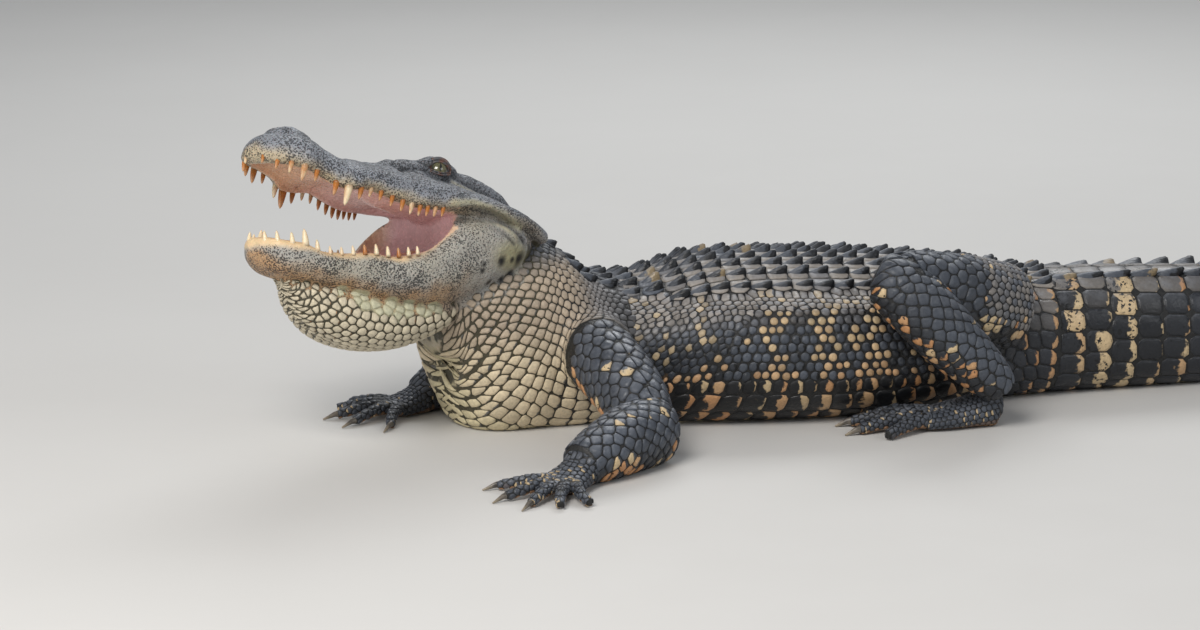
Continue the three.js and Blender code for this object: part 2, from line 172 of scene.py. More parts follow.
# Stations of the legs
LEFT_ARM = [
    [-232, -70, 104, 40, 44, 44],
    [-214, -136, 84, 40, 42, 42],
    [-198, -192, 60, 38, 38, 38],
    [-190, -226, 42, 32, 32, 36],
]
LEFT_FOREARM = [
    [-170, -226, 36, 14, 20, 28],
    [-182, -236, 37, 33, 33, 40],
    [-212, -262, 37, 38, 35, 40],
    [-252, -296, 31, 33, 30, 34],
    [-284, -320, 25, 25, 22, 26],
]
LEFT_THIGH = [
    [262, -60, 106, 50, 56, 52],
    [205, -104, 130, 48, 53, 50],
    [148, -138, 158, 41, 40, 42],
    [112, -158, 173, 30, 30, 32],
]
LEFT_SHANK = [
    [84, -164, 182, 16, 18, 18],
    [96, -168, 175, 33, 30, 32],
    [130, -176, 144, 40, 37, 38],
    [168, -182, 104, 38, 34, 36],
    [206, -184, 66, 29, 27, 28],
    [224, -182, 46, 24, 21, 22],
]
RIGHT_ARM = [
    [-232, 70, 104, 40, 44, 44],
    [-250, 92, 82, 38, 41, 42],
    [-272, 104, 58, 35, 36, 38],
    [-288, 108, 42, 30, 30, 36],
]
RIGHT_FOREARM = [
    [-276, 118, 38, 14, 20, 28],
    [-290, 108, 39, 31, 31, 40],
    [-322, 84, 38, 36, 33, 40],
    [-364, 50, 31, 31, 26, 32],
    [-394, 26, 24, 23, 19, 25],
]
RIGHT_THIGH = [
    [262, 60, 98, 50, 50, 52],
    [212, 112, 94, 46, 43, 50],
    [164, 164, 86, 38, 34, 40],
    [130, 194, 78, 28, 28, 32],
]
RIGHT_SHANK = [
    [104, 204, 80, 14, 18, 18],
    [116, 206, 77, 31, 28, 32],
    [152, 216, 66, 37, 32, 38],
    [194, 224, 50, 33, 28, 34],
    [228, 226, 38, 26, 22, 28],
    [242, 224, 32, 22, 20, 24],
]
HAND = dict(palm=46, half=27, height=20, radius=8.5, claws=3,
            digits=[(-40, 48), (-15, 60), (5, 62), (22, 57), (40, 46)])
FOOT = dict(palm=84, half=33, height=22, radius=10, claws=3,
            digits=[(-17, 62), (-5, 82), (8, 82), (21, 66)])
CLAW_LENGTH = 19
LEGS = {
    "left_foreleg": (LEFT_ARM, LEFT_FOREARM, HAND, ((-278, -316, 24), 42, 1)),
    "right_foreleg": (RIGHT_ARM, RIGHT_FOREARM, HAND, ((-388, 30, 24), -14, -1)),
    "left_hindleg": (LEFT_THIGH, LEFT_SHANK, FOOT, ((228, -158, 24), -1, 1)),
    "right_hindleg": (RIGHT_THIGH, RIGHT_SHANK, FOOT, ((250, 216, 24), 22, -1)),
}
LEG_NODES = {"foreleg": ("upper_arm", "forearm", "hand"), "hindleg": ("thigh", "shank", "foot")}

# Teeth on each side: distance forward along the jaw and length
UPPER_TEETH = [(324, 5), (315, 7), (304, 8), (290, 12), (275, 7), (252, 9), (238, 17), (223, 9), (210, 5),
               (197, 5), (183, 6), (170, 7), (159, 7), (149, 6), (140, 5), (131, 5), (122, 4)]
LOWER_TEETH = [(284, 7), (276, 8), (264, 7), (251, 14), (238, 6), (224, 3), (211, 3), (198, 4), (185, 5),
               (172, 6), (159, 5), (147, 4), (136, 4), (126, 3)]

# Colours, as they look on a screen, 0 to 255
PALETTE = {
    "slate": (42, 45, 51),
    "slate_light": (82, 88, 98),
    "slate_dark": (23, 25, 29),
    "black": (16, 17, 19),
    "gap": (104, 104, 102),
    "gap_dark": (28, 28, 28),
    "fold": (74, 68, 64),
    # Pale warm grey: dust on and between the back's plates, and on the tail's top also painted sheen
    "dust_and_sheen": (152, 145, 137),
    # Bluish grey that faces pointing up are lightened towards: painted sky sheen, with some dust
    "sky_sheen_and_dust": (146, 150, 158),
    "cream": (208, 184, 144),
    "tan": (198, 150, 108),
    "orange": (192, 140, 94),
    "wrinkle": (152, 145, 138),
    "throat": (202, 191, 166),
    "throat_gap": (66, 62, 46),
    "pleat": (196, 193, 164),
    "neck": (174, 158, 138),
    "chest": (210, 194, 164),
    "belly": (206, 194, 158),
    "head": (136, 140, 148),
    "head_dark": (74, 76, 80),
    "lip": (178, 164, 138),
    "jaw": (168, 163, 150),
    "jaw_edge": (176, 142, 106),
    "patch": (150, 144, 104),
    "palate": (206, 164, 132),
    "mouth": (222, 186, 180),
    "mouth_deep": (216, 178, 182),
    "gum": (226, 198, 156),
    "corner": (176, 170, 140),
    "ivory": (224, 206, 172),
    "stain": (168, 104, 42),
    "root": (100, 68, 44),
    "iris": (66, 66, 44),
    "iris_light": (108, 104, 72),
    "lid": (104, 70, 56),
    "horn": (116, 108, 98),
    "horn_dark": (62, 58, 54),
}


def colour(name):
    shown = np.array(PALETTE[name]) / 255
    return np.where(shown <= 0.04045, shown / 12.92, ((shown + 0.055) / 1.055) ** 2.4)


# Numbers
def smooth(low, high, value):
    share = np.clip((np.asarray(value, float) - low) / (high - low), 0, 1)
    return share * share * (3 - 2 * share)


def mix(one, other, share):
    share = np.asarray(share, float)[..., None]
    return one * (1 - share) + other * share


def blend(one, other, share):
    """A mix of two named colours."""
    return mix(colour(one), colour(other), share)


def lumps(points, size, seed=0):
    """Smooth random values from -1 to 1 in space, in lumps about size metres across."""
    place = np.asarray(points, float) / size
    cell = np.floor(place).astype(np.int64)
    part = place - cell
    part = part * part * (3 - 2 * part)
    total = np.zeros(place.shape[:-1])
    for corner in np.ndindex(2, 2, 2):
        at = (cell + corner).astype(np.uint64)
        mixed = at[..., 0] * np.uint64(73856093) ^ at[..., 1] * np.uint64(19349663)
        mixed ^= at[..., 2] * np.uint64(83492791) ^ np.uint64(2654435761 * (seed + 1))
        mixed = (mixed ^ (mixed >> np.uint64(15))) * np.uint64(2246822519)
        value = ((mixed >> np.uint64(17)) & np.uint64(0xFFFF)).astype(float) / 32767.5 - 1
        weight = np.prod(np.where(corner, part, 1 - part), axis=-1)
        total += value * weight
    return total


def unit(vectors):
    return vectors / np.maximum(np.linalg.norm(vectors, axis=-1, keepdims=True), 1e-12)


def ring_faces(rings, sides):
    """The quads between rings that follow each other."""
    ring, side = np.meshgrid(np.arange(rings - 1), np.arange(sides), indexing="ij")
    a, b = ring * sides + side, ring * sides + (side + 1) % sides
    return np.stack([a, a + sides, b + sides, b], -1).reshape(-1, 4)


def cap_faces(rings, sides):
    """The triangles from the first and the last ring to the two points that follow all rings."""
    i = np.arange(sides)
    j = (i + 1) % sides
    first, low = rings * sides, (rings - 1) * sides
    return np.vstack([
        np.stack([np.full(sides, first), i, j], -1),
        np.stack([np.full(sides, first + 1), low + j, low + i], -1),
    ])


def circle(sides):
    """The angles of a ring's points."""
    return np.linspace(0, 2 * math.pi, sides, endpoint=False)


def turned(yaw, pitch, roll):
    yaw, pitch, roll = np.radians([yaw, pitch, roll])
    about_z = [[math.cos(yaw), -math.sin(yaw), 0], [math.sin(yaw), math.cos(yaw), 0], [0, 0, 1]]
    about_y = [[math.cos(pitch), 0, math.sin(pitch)], [0, 1, 0], [-math.sin(pitch), 0, math.cos(pitch)]]
    about_x = [[1, 0, 0], [0, math.cos(roll), -math.sin(roll)], [0, math.sin(roll), math.cos(roll)]]
    return np.array(about_z) @ np.array(about_y) @ np.array(about_x)


class Pose:
    """A frame of its own for the head or the jaw."""

    def __init__(self, at, turns):
        self.at = np.array(at, float) * MM
        self.turn = turned(*turns)

    def out(self, points):
        return points @ self.turn.T + self.at

    def into(self, points):
        return (points - self.at) @ self.turn


HEAD = Pose(*HEAD_POSE)
JAW = Pose(*JAW_POSE)


def catmull(rows, shares):
    """Points on the uniform Catmull-Rom line through rows of numbers, at shares from 0 to 1."""
    ends = np.vstack([2 * rows[0] - rows[1], rows, 2 * rows[-1] - rows[-2]])
    place = np.clip(shares, 0, 1) * (len(rows) - 1)
    index = np.minimum(place.astype(int), len(rows) - 2)
    t = (place - index)[..., None]
    a, b, c, d = (ends[index + i] for i in range(4))
    return 0.5 * (2 * b + (c - a) * t + (2 * a - 5 * b + 4 * c - d) * t**2 + (3 * b - a - 3 * c + d) * t**3)


def rounded(value, power):
    return np.sign(value) * np.abs(value) ** (2 / power)


class Loft:
    """A body through rings along its stations. A ring's turn is 0 on top, and positive to the
    side of UP x ahead."""

    def __init__(self, stations, top=2.2, low=2.4, facing=None, pose=None, floor=None, depth=None):
        self.rows = np.asarray(stations, float) * MM
        self.top, self.low = top, low
        self.facing, self.pose, self.floor = facing, pose, floor
        self.depth = depth or (lambda share, turn: 0)

    def at(self, share, turn, lift=0.0):
        share, turn = np.broadcast_arrays(np.asarray(share, float), np.asarray(turn, float))
        rows = catmull(self.rows, share)
        if self.facing is None:
            step = 0.004
            ahead = unit(catmull(self.rows[:, :3], share + step) - catmull(self.rows[:, :3], share - step))
        else:
            ahead = np.broadcast_to(np.array(self.facing, float), rows[..., :3].shape)
        aside = unit(np.cross([0, 0, 1.0], ahead))
        above = np.cross(ahead, aside)
        x, y = np.sin(turn), np.cos(turn)
        power = np.where(y > 0, self.top, self.low)
        high = np.where(y > 0, rows[..., 4], rows[..., 5])
        wide = rounded(x, power) * (rows[..., 3] + lift)
        tall = rounded(y, power) * (high + lift)
        points = rows[..., :3] + aside * wide[..., None] + above * tall[..., None]
        if self.floor is not None:
            points[..., 2] = np.maximum(points[..., 2], self.floor)
        return self.pose.out(points) if self.pose else points

    def closed(self, rings, sides):
        """The points and faces of the closed body, moved in by its depth."""
        share = np.linspace(0, 1, rings)[:, None]
        turn = circle(sides)[None, :]
        signed = np.where(turn > math.pi, turn - 2 * math.pi, turn)
        grid = self.at(share, turn, -self.depth(share, np.abs(signed)) * np.ones((rings, sides)))
        points = np.vstack([grid.reshape(-1, 3), grid[0].mean(0), grid[-1].mean(0)])
        return points, ring_faces(rings, sides), cap_faces(rings, sides)


def upright(rows, widest):
    """Stations from distance forward, half width, top and bottom, widest a share of the way up."""
    stations = []
    for along, half, top, bottom in rows:
        middle = bottom + (top - bottom) * widest
        stations.append([-along, 0, middle, half, top - middle, middle - bottom])
    return stations


# Body lines that come from formulas
def tail_stations(steps):
    stations = []
    x, y = TAIL_START - TAIL_LENGTH / steps, 0.0
    for i in range(steps + 1):
        share = i / steps
        swing = max(0, (share - 0.15) / 0.85)
        heading = math.radians(TAIL_BEND) * math.sin(math.pi * swing)
        x += TAIL_LENGTH / steps * math.cos(heading)
        y += TAIL_LENGTH / steps * math.sin(heading)
        half = (10 + 131 * (1 - share**1.7)) / 2
        width = 4 + 72 * (1 - share) ** 1.45
        stations.append([x, y, half * 0.96, width, half * 1.04, half])
    return stations


def crest_height(share):
    return (11 + 26 * np.sin(math.pi * share**0.85)) * MM


def reached(root, spread, distance, height):
    at, heading, side = root
    angle = math.radians(heading + spread)
    return [at[0] - math.cos(angle) * distance, at[1] - side * math.sin(angle) * distance, height]


def digit_stations(root, kind, digit):
    spread, length = digit
    start, end = kind["palm"] * 0.62, kind["palm"] + length
    stations = []
    for share in (0, 0.45, 0.8, 1):
        bend = spread * (0.45 + 0.55 * share)
        thick = kind["radius"] * (1 - 0.42 * share)
        arch = 5 * math.sin(math.pi * share)
        at = reached(root, bend, start + (end - start) * share, thick + arch)
        stations.append([*at, thick, thick, thick])
    return stations


def claw_stations(root, kind, digit):
    spread, length = digit
    end, radius = kind["palm"] + length, kind["radius"] * 0.46
    stations = []
    for share in (-0.3, 0, 0.25, 0.5, 0.75, 1):
        thick = radius * (1 - 0.78 * max(share, 0))
        rise = radius + 3.4 * math.sin(math.pi * (0.2 + 0.8 * max(share, 0))) * (1 - max(share, 0))
        height = max(rise * (1 - share) + thick * share, thick)
        at = reached(root, spread, end - 2 + CLAW_LENGTH * share, height)
        stations.append([*at, thick * 0.8, thick, thick])
    return stations


def palm_stations(root, kind):
    palm, half, height = kind["palm"], kind["half"], kind["height"]
    shape = [(-6, 0.9, 0.4, 0.5, 0.5), (6, 0.95, 0.76, 0.85, 1), (palm * 0.35, 0.74, 0.86, 0.72, 0.78),
             (palm * 0.75, 0.52, 1, 0.5, 0.56), (palm * 1.04, 0.4, 0.94, 0.34, 0.42)]
    return [[*reached(root, 0, d, height * z), half * w, height * up, height * low]
            for d, z, w, up, low in shape]


# Lofts of the whole body
FORWARD, BACKWARD = (-1, 0, 0), (1, 0, 0)


def flesh_depth(share, turn):
    return SKIN_DEPTH


def trunk_depth(share, turn):
    """Deeper under the keels, and less so where the trunk runs into the neck and the tail."""
    keels = 1 - smooth(0.72, 1.05, turn)
    ends = smooth(-0.05, 0.12, share) * (1 - 0.45 * smooth(0.9, 1.0, share))
    return SKIN_DEPTH + (ARMOUR_DEPTH - SKIN_DEPTH) * keels * ends


lofts = {
    "muzzle": Loft(upright(MUZZLE, 0.34), 2.3, 3, FORWARD, HEAD),
    "cranium": Loft(upright(CRANIUM, 0.6), 3.4, 2.2, FORWARD, HEAD),
    "mandible": Loft(upright(MANDIBLE, 0.62), 3, 2.4, FORWARD, JAW),
    "pouch": Loft(upright(POUCH, 0.5), 2.2, 2.4, BACKWARD, JAW, depth=flesh_depth),
    "neck": Loft(NECK, 2.2, 2.2, floor=FLOOR_SKIN, depth=flesh_depth),
    "trunk": Loft(TRUNK, 2.2, 2.6, floor=FLOOR_SKIN, depth=trunk_depth),
    "tail": Loft(tail_stations(20), 2.1, 2.6, floor=FLOOR_SKIN, depth=flesh_depth),
}
for leg, (upper, lower, kind, root) in LEGS.items():
    lofts[leg + "_upper"] = Loft(upper, 2.1, 2.1, floor=FLOOR_SKIN, depth=flesh_depth)
    lofts[leg + "_lower"] = Loft(lower, 2.1, 2.1, floor=FLOOR_SKIN, depth=flesh_depth)
    lofts[leg + "_palm"] = Loft(palm_stations(root, kind), floor=0.0, depth=lambda s, t: 0.6 * MM)
    for i, digit in enumerate(kind["digits"]):
        lofts[f"{leg}_digit_{i}"] = Loft(digit_stations(root, kind, digit), floor=0.0,
                                         depth=lambda s, t: 0.4 * MM)


# Meshes
def build_mesh(name, points, quads=None, triangles=None):
    parts = [f for f in (quads, triangles) if f is not None and len(f)]
    mesh = bpy.data.meshes.new(name)
    mesh.vertices.add(len(points))
    mesh.vertices.foreach_set("co", np.asarray(points, np.float32).ravel())
    loops = np.concatenate([np.asarray(f).ravel() for f in parts])
    sizes = np.concatenate([np.full(len(f), f.shape[1]) for f in parts])
    mesh.loops.add(len(loops))
    mesh.loops.foreach_set("vertex_index", loops.astype(np.int32))
    mesh.polygons.add(len(sizes))
    starts = np.concatenate([[0], np.cumsum(sizes)[:-1]])
    mesh.polygons.foreach_set("loop_start", starts.astype(np.int32))
    mesh.update(calc_edges=True)
    mesh.shade_smooth()
    return mesh


def piece(name, mesh, material=None):
    made = bpy.data.objects.new(name, mesh)
    bpy.context.scene.collection.objects.link(made)
    if material:
        mesh.materials.append(material)
    return made


def finished(made):
    """Applies the modifiers of a piece."""
    bpy.context.view_layer.update()
    graph = bpy.context.evaluated_depsgraph_get()
    mesh = bpy.data.meshes.new_from_object(made.evaluated_get(graph))
    made.modifiers.clear()
    made.data = mesh
    return made


def coordinates(mesh):
    points = np.empty(len(mesh.vertices) * 3, np.float32)
    mesh.vertices.foreach_get("co", points)
    return points.reshape(-1, 3).astype(float)


def normals_of(mesh):
    normals = np.empty(len(mesh.vertices) * 3, np.float32)
    mesh.vertices.foreach_get("normal", normals)
    return normals.reshape(-1, 3).astype(float)


def edges_of(mesh):
    edges = np.empty(len(mesh.edges) * 2, np.int32)
    mesh.edges.foreach_get("vertices", edges)
    return edges.reshape(-1, 2)


def joined(parts):
    points, quads, triangles, count = [], [], [], 0
    for p, q, t in parts:
        points.append(p)
        quads.append(q + count)
        triangles.append(t + count)
        count += len(p)
    return np.vstack(points), np.vstack(quads), np.vstack(triangles)


def relax(points, edges, weight, rounds):
    """Moves each point towards the mean of its neighbours by its weight."""
    count = np.bincount(edges.ravel(), minlength=len(points))[:, None]
    for _ in range(rounds):
        total = np.stack([
            np.bincount(edges[:, 0], points[edges[:, 1], k], len(points))
            + np.bincount(edges[:, 1], points[edges[:, 0], k], len(points))
            for k in range(3)
        ], -1)
        points = points + (total / np.maximum(count, 1) - points) * weight[:, None]
    return points


def add_vectors(mesh, name, values):
    attribute = mesh.attributes.new(name, "FLOAT_VECTOR", "POINT")
    attribute.data.foreach_set("vector", np.asarray(values, np.float32).ravel())


def add_colours(mesh, name, values):
    attribute = mesh.attributes.new(name, "FLOAT_COLOR", "POINT")
    with_alpha = np.concatenate([values, np.ones((len(values), 1))], 1)
    attribute.data.foreach_set("color", np.clip(with_alpha, 0, 1).astype(np.float32).ravel())


# The skin
def triangles_of(mesh):
    mesh.calc_loop_triangles()
    faces = np.empty(len(mesh.loop_triangles) * 3, np.int32)
    mesh.loop_triangles.foreach_get("vertices", faces)
    return faces.reshape(-1, 3)


def cut(name, loft, hole):
    """The points and faces of a loft with a hole taken out."""
    body = piece(name, build_mesh(name, *loft.closed(120, 96)))
    tool = piece(name + "_hole", build_mesh(name, *hole.closed(60, 64)))
    modifier = body.modifiers.new("hole", "BOOLEAN")
    modifier.operation, modifier.object, modifier.solver = "DIFFERENCE", tool, "EXACT"
    finished(body)
    result = coordinates(body.data), np.zeros((0, 4), int), triangles_of(body.data)
    for used in (tool, body):
        bpy.data.objects.remove(used)
    return result


BROWS = (((-111, 38.5, 58), (28, 12.5, 15.8)), ((-133, 37, 50.5), (38, 12, 14)))
NARES = ((-284, 0, 51), (25, 27, 12))


def ball(middle, size, pose, rings=24, sides=32):
    turn = np.linspace(0, math.pi, rings)[:, None]
    around = circle(sides)[None, :]
    directions = np.stack(np.broadcast_arrays(
        np.cos(turn), np.sin(turn) * np.cos(around), np.sin(turn) * np.sin(around)), -1)
    points = directions.reshape(-1, 3) * np.array(size) + np.array(middle)
    return pose.out(points * MM), ring_faces(rings, sides), np.zeros((0, 3), int)


def raw_skin():
    """One closed surface round all the flesh."""
    parts = [
        cut("jaw_body", lofts["mandible"], Loft(upright(MOUTH, 0.5), 4, 2.6, FORWARD, JAW)),
        cut("muzzle_body", lofts["muzzle"], Loft(upright(PALATE, 0.5), 3.4, 3, FORWARD, HEAD)),
    ]
    parts += [loft.closed(100, 72) for name, loft in lofts.items() if name not in ("muzzle", "mandible")]
    for side in (-1, 1):
        for (x, y, z), size in BROWS:
            parts.append(ball((x, side * y, z), size, HEAD))
    parts.append(ball(*NARES, HEAD))
    made = piece("skin", build_mesh("skin", *joined(parts)))
    modifier = made.modifiers.new("one_surface", "REMESH")
    modifier.mode, modifier.voxel_size, modifier.adaptivity = "VOXEL", VOXEL, 0.0
    return finished(made)


# Where two parts of the flesh meet, the crease between them is softened: middle, radius, rounds
CREASES = [
    ((-225, -95, 100), 85, 26), ((-225, 90, 96), 80, 26), ((240, -85, 110), 90, 26),
    ((235, 85, 95), 90, 26), ((-330, -30, 120), 110, 10), ((-440, -80, 128), 60, 6),
    ((-186, -232, 40), 40, 12), ((-284, 112, 40), 40, 12), ((100, -162, 176), 44, 8),
    ((116, 200, 78), 44, 10), ((-282, -316, 24), 34, 10), ((-388, 30, 24), 32, 10),
    ((224, -176, 40), 36, 10), ((244, 220, 30), 36, 10), ((330, 0, 90), 90, 12),
    ((-180, 0, 110), 130, 40), ((-178, 125, 85), 90, 60), ((-305, -5, 202), 78, 36),
]


def near(points, middle, radius):
    distance = np.linalg.norm(points - np.array(middle) * MM, axis=-1) / (radius * MM)
    return 1 - smooth(0.55, 1.0, distance)


def gaze(side):
    """The eye's middle and the directions out of it, forward and up, in the head's frame."""
    out = unit(np.array([-0.36, side * 0.90, 0.28]))
    ahead = unit(np.cross([0, 0, 1.0], out) * side)
    above = np.cross(ahead, out) * side
    above = above if above[2] > 0 else -above
    return EYE * [1, side, 1] * MM, out, ahead, above


# The eye's opening: half its length, and its reach above and below the middle
LID_HALF, LID_HIGH, LID_LOW = 11.8, 6.8, 6.0


def opening(p, q):
    """How far a direction is inside the eye's opening: positive inside, in metres."""
    half = LID_HALF * MM
    arch = np.where(q > 0, LID_HIGH, LID_LOW) * MM
    return arch * np.clip(1 - (p / half) ** 2, 0, 1) ** 0.8 - np.abs(q)


def groove(points, line, width, depth):
    """How deep a groove along a line of points is at each point, in metres."""
    line = np.asarray(line, float) * MM
    fine = catmull(line, np.linspace(0, 1, 40))
    distance = np.full(len(points), 1.0)
    for at in fine:
        distance = np.minimum(distance, np.linalg.norm((points - at) * [1, 0.35, 1], axis=1))
    return depth * MM * np.exp(-((distance / (width * MM)) ** 2))


# Lines of folds on the head's left side, in the head's frame and the jaw's
EAR = [(-94, -51, 58), (-73, -52, 53), (-50, -54, 48), (-25, -55, 41), (2, -54, 34)]
TABLE_EDGE = [(-90, -46, 64), (-70, -49, 61), (-46, -51, 56), (-20, -52, 49), (4, -51, 40)]
CANTHUS = [(-128, -50, 54), (-136, -45, 53), (-150, -42, 51), (-168, -50, 44)]
CORNER_RIDGE = [(-116, -87, 20), (-92, -91, 26), (-53, -90, 24), (-17, -84, 15)]
CORNER = [(-80, -82, 38), (-68, -89, 40), (-52, -93, 40), (-24, -90, 33), (-2, -89, 19), (12, -86, 6)]
CORNER_FOLD = [(-76, -90, 34), (-56, -96, 33), (-28, -95, 26), (-6, -91, 12)]
CORNER_CREASE = [(-72, -93, 28), (-52, -97, 26), (-28, -96, 19), (-8, -92, 4)]
PATCH = (-8, -92, -9)
PATCH_SPOTS = [(-26, -93, -15, 7), (2, -88, -11, 7.5), (-9, -91, -13, 4), (-2, -77, -28, 4.5),
               (-13, -75, -35, 4), (-49, -93, -19, 3.5), (-49, -90, -26, 3.5), (-32, -79, -38, 3.5)]
EAR_RIM = [(-94, -53, 50), (-73, -55, 46), (-50, -57, 41), (-25, -58, 34), (2, -58, 27)]
PALATE_FOLD = [(-217, -46, 14), (-221, -20, 19), (-224, 4, 20), (-229, 20, 19), (-229, 46, 13)]


# Line, whether it is on the jaw, 1 where it rises and -1 where it sinks, its width and its depth
FOLDS = (
    (EAR, False, -1, 2.8, 4.6),
    (EAR_RIM, False, 1, 3.0, 1.4),
    (TABLE_EDGE, False, 1, 4.5, 2.2),
    (CANTHUS, False, -1, 2.2, 2.6),
    (CORNER, True, -1, 3.0, 5.0),
    (CORNER_RIDGE, False, 1, 4.0, 2.4),
    (CORNER_FOLD, True, 1, 3.6, 2.0),
    (CORNER_CREASE, True, -1, 2.2, 2.0),
)
# Line, whether it is on the jaw, its width and how dark or how pale it is
# The dark lines are painted shade in the sunk grooves of the ear slit, the eye's front corner and the mouth's
# corner.
DARK_LINES = ((EAR, False, 2.6, 1), (CANTHUS, False, 2.2, 0.8), (CORNER, True, 3.0, 0.9),
              (CORNER_CREASE, True, 1.8, 0.8))
PALE_LINES = ((EAR_RIM, False, 2.6, 0.5), (CORNER_RIDGE, False, 4.0, 0.8), (CORNER_FOLD, True, 3.4, 0.7))


def mirrored(line, side):
    return [(x, -side * y, z) for x, y, z in line]


def inside_loft(rows, widest, top, low, points, grow):
    """Whether points in a loft's own frame lie in it, when it is grown by some millimetres."""
    columns = np.array(rows, float).T
    along, aside, above = -points[:, 0] / MM, np.abs(points[:, 1]) / MM, points[:, 2] / MM
    half, high, deep = (np.interp(along, columns[0], columns[i]) for i in (1, 2, 3))
    middle = deep + (high - deep) * widest
    tall = np.where(above > middle, high - middle, middle - deep) + grow
    power = np.where(above > middle, top, low)
    within = (aside / (half + grow)) ** power + (np.abs(above - middle) / tall) ** power < 1
    return within & (along > columns[0][0] - grow) & (along < columns[0][-1] + grow)


def sculpt(points, normals):
    """Folds, lids, nostrils and the rough surface of the head, on the skin's points."""
    head, jaw = HEAD.into(points), JAW.into(points)
    push = np.zeros(len(points))
    along, aside, above = -head[:, 0] / MM, head[:, 1] / MM, head[:, 2] / MM
    upper = smooth(-20, 10, along) * smooth(-4, 6, above)
    rough = lumps(head, 0.016, 1) * 0.9 + lumps(head, 0.007, 2) * 0.5
    push += rough * MM * upper * smooth(20, 34, above)
    table = np.exp(-(((along - 42) / 34) ** 4)) * (1 - smooth(40, 54, np.abs(aside))) * smooth(34, 46, above)
    push += 4.5 * MM * table
    push -= groove(head, PALATE_FOLD, 1.8, 1.8)
    bosses = np.maximum(lumps(head, 0.022, 3), 0) * smooth(120, 150, along) * smooth(36, 44, above)
    push += 2.2 * MM * bosses * (1 - smooth(250, 280, along))
    for side in (-1, 1):
        middle, out, ahead, up = gaze(side)
        local = head - middle
        reach = np.linalg.norm(local, axis=1)
        direction = local / np.maximum(reach, 1e-9)[:, None]
        ball_radius = EYE_RADIUS * MM
        p, q = direction @ ahead * ball_radius, direction @ up * ball_radius
        facing_out = direction @ out > 0.1
        inside = facing_out & (opening(p, q) > 0) & (reach < 30 * MM)
        lid = facing_out & (reach < 19 * MM) & ~inside
        target = np.where(inside, 9.5 * MM, np.maximum(reach, 13.9 * MM))
        moved = middle + direction * target[:, None]
        head = np.where((inside | lid)[:, None], moved, head)
        nostril = np.array([-300, side * 12, 62]) * MM
        flat = np.linalg.norm((head - nostril) * [0.75, 1.3, 1.0], axis=1)
        push -= 5.5 * MM * np.exp(-((flat / (4.2 * MM)) ** 2))
        push += 2.0 * MM * np.exp(-(((flat - 7.5 * MM) / (3 * MM)) ** 2)) * smooth(48, 54, above)
        for line, on_jaw, sign, width, depth in FOLDS:
            push += sign * groove(jaw if on_jaw else head, mirrored(line, side), width, depth)
    moved = HEAD.out(head)
    jaw_along, jaw_above = -jaw[:, 0] / MM, jaw[:, 2] / MM
    lower = smooth(20, 40, jaw_along) * (1 - smooth(-2, 8, jaw_above)) * smooth(-80, -60, jaw_above)
    push += lumps(jaw, 0.012, 5) * 0.7 * MM * lower
    return moved + normals * push[:, None]


def line_weight(points, line, side, width):
    return groove(points, mirrored(line, side), width, 1 / MM)


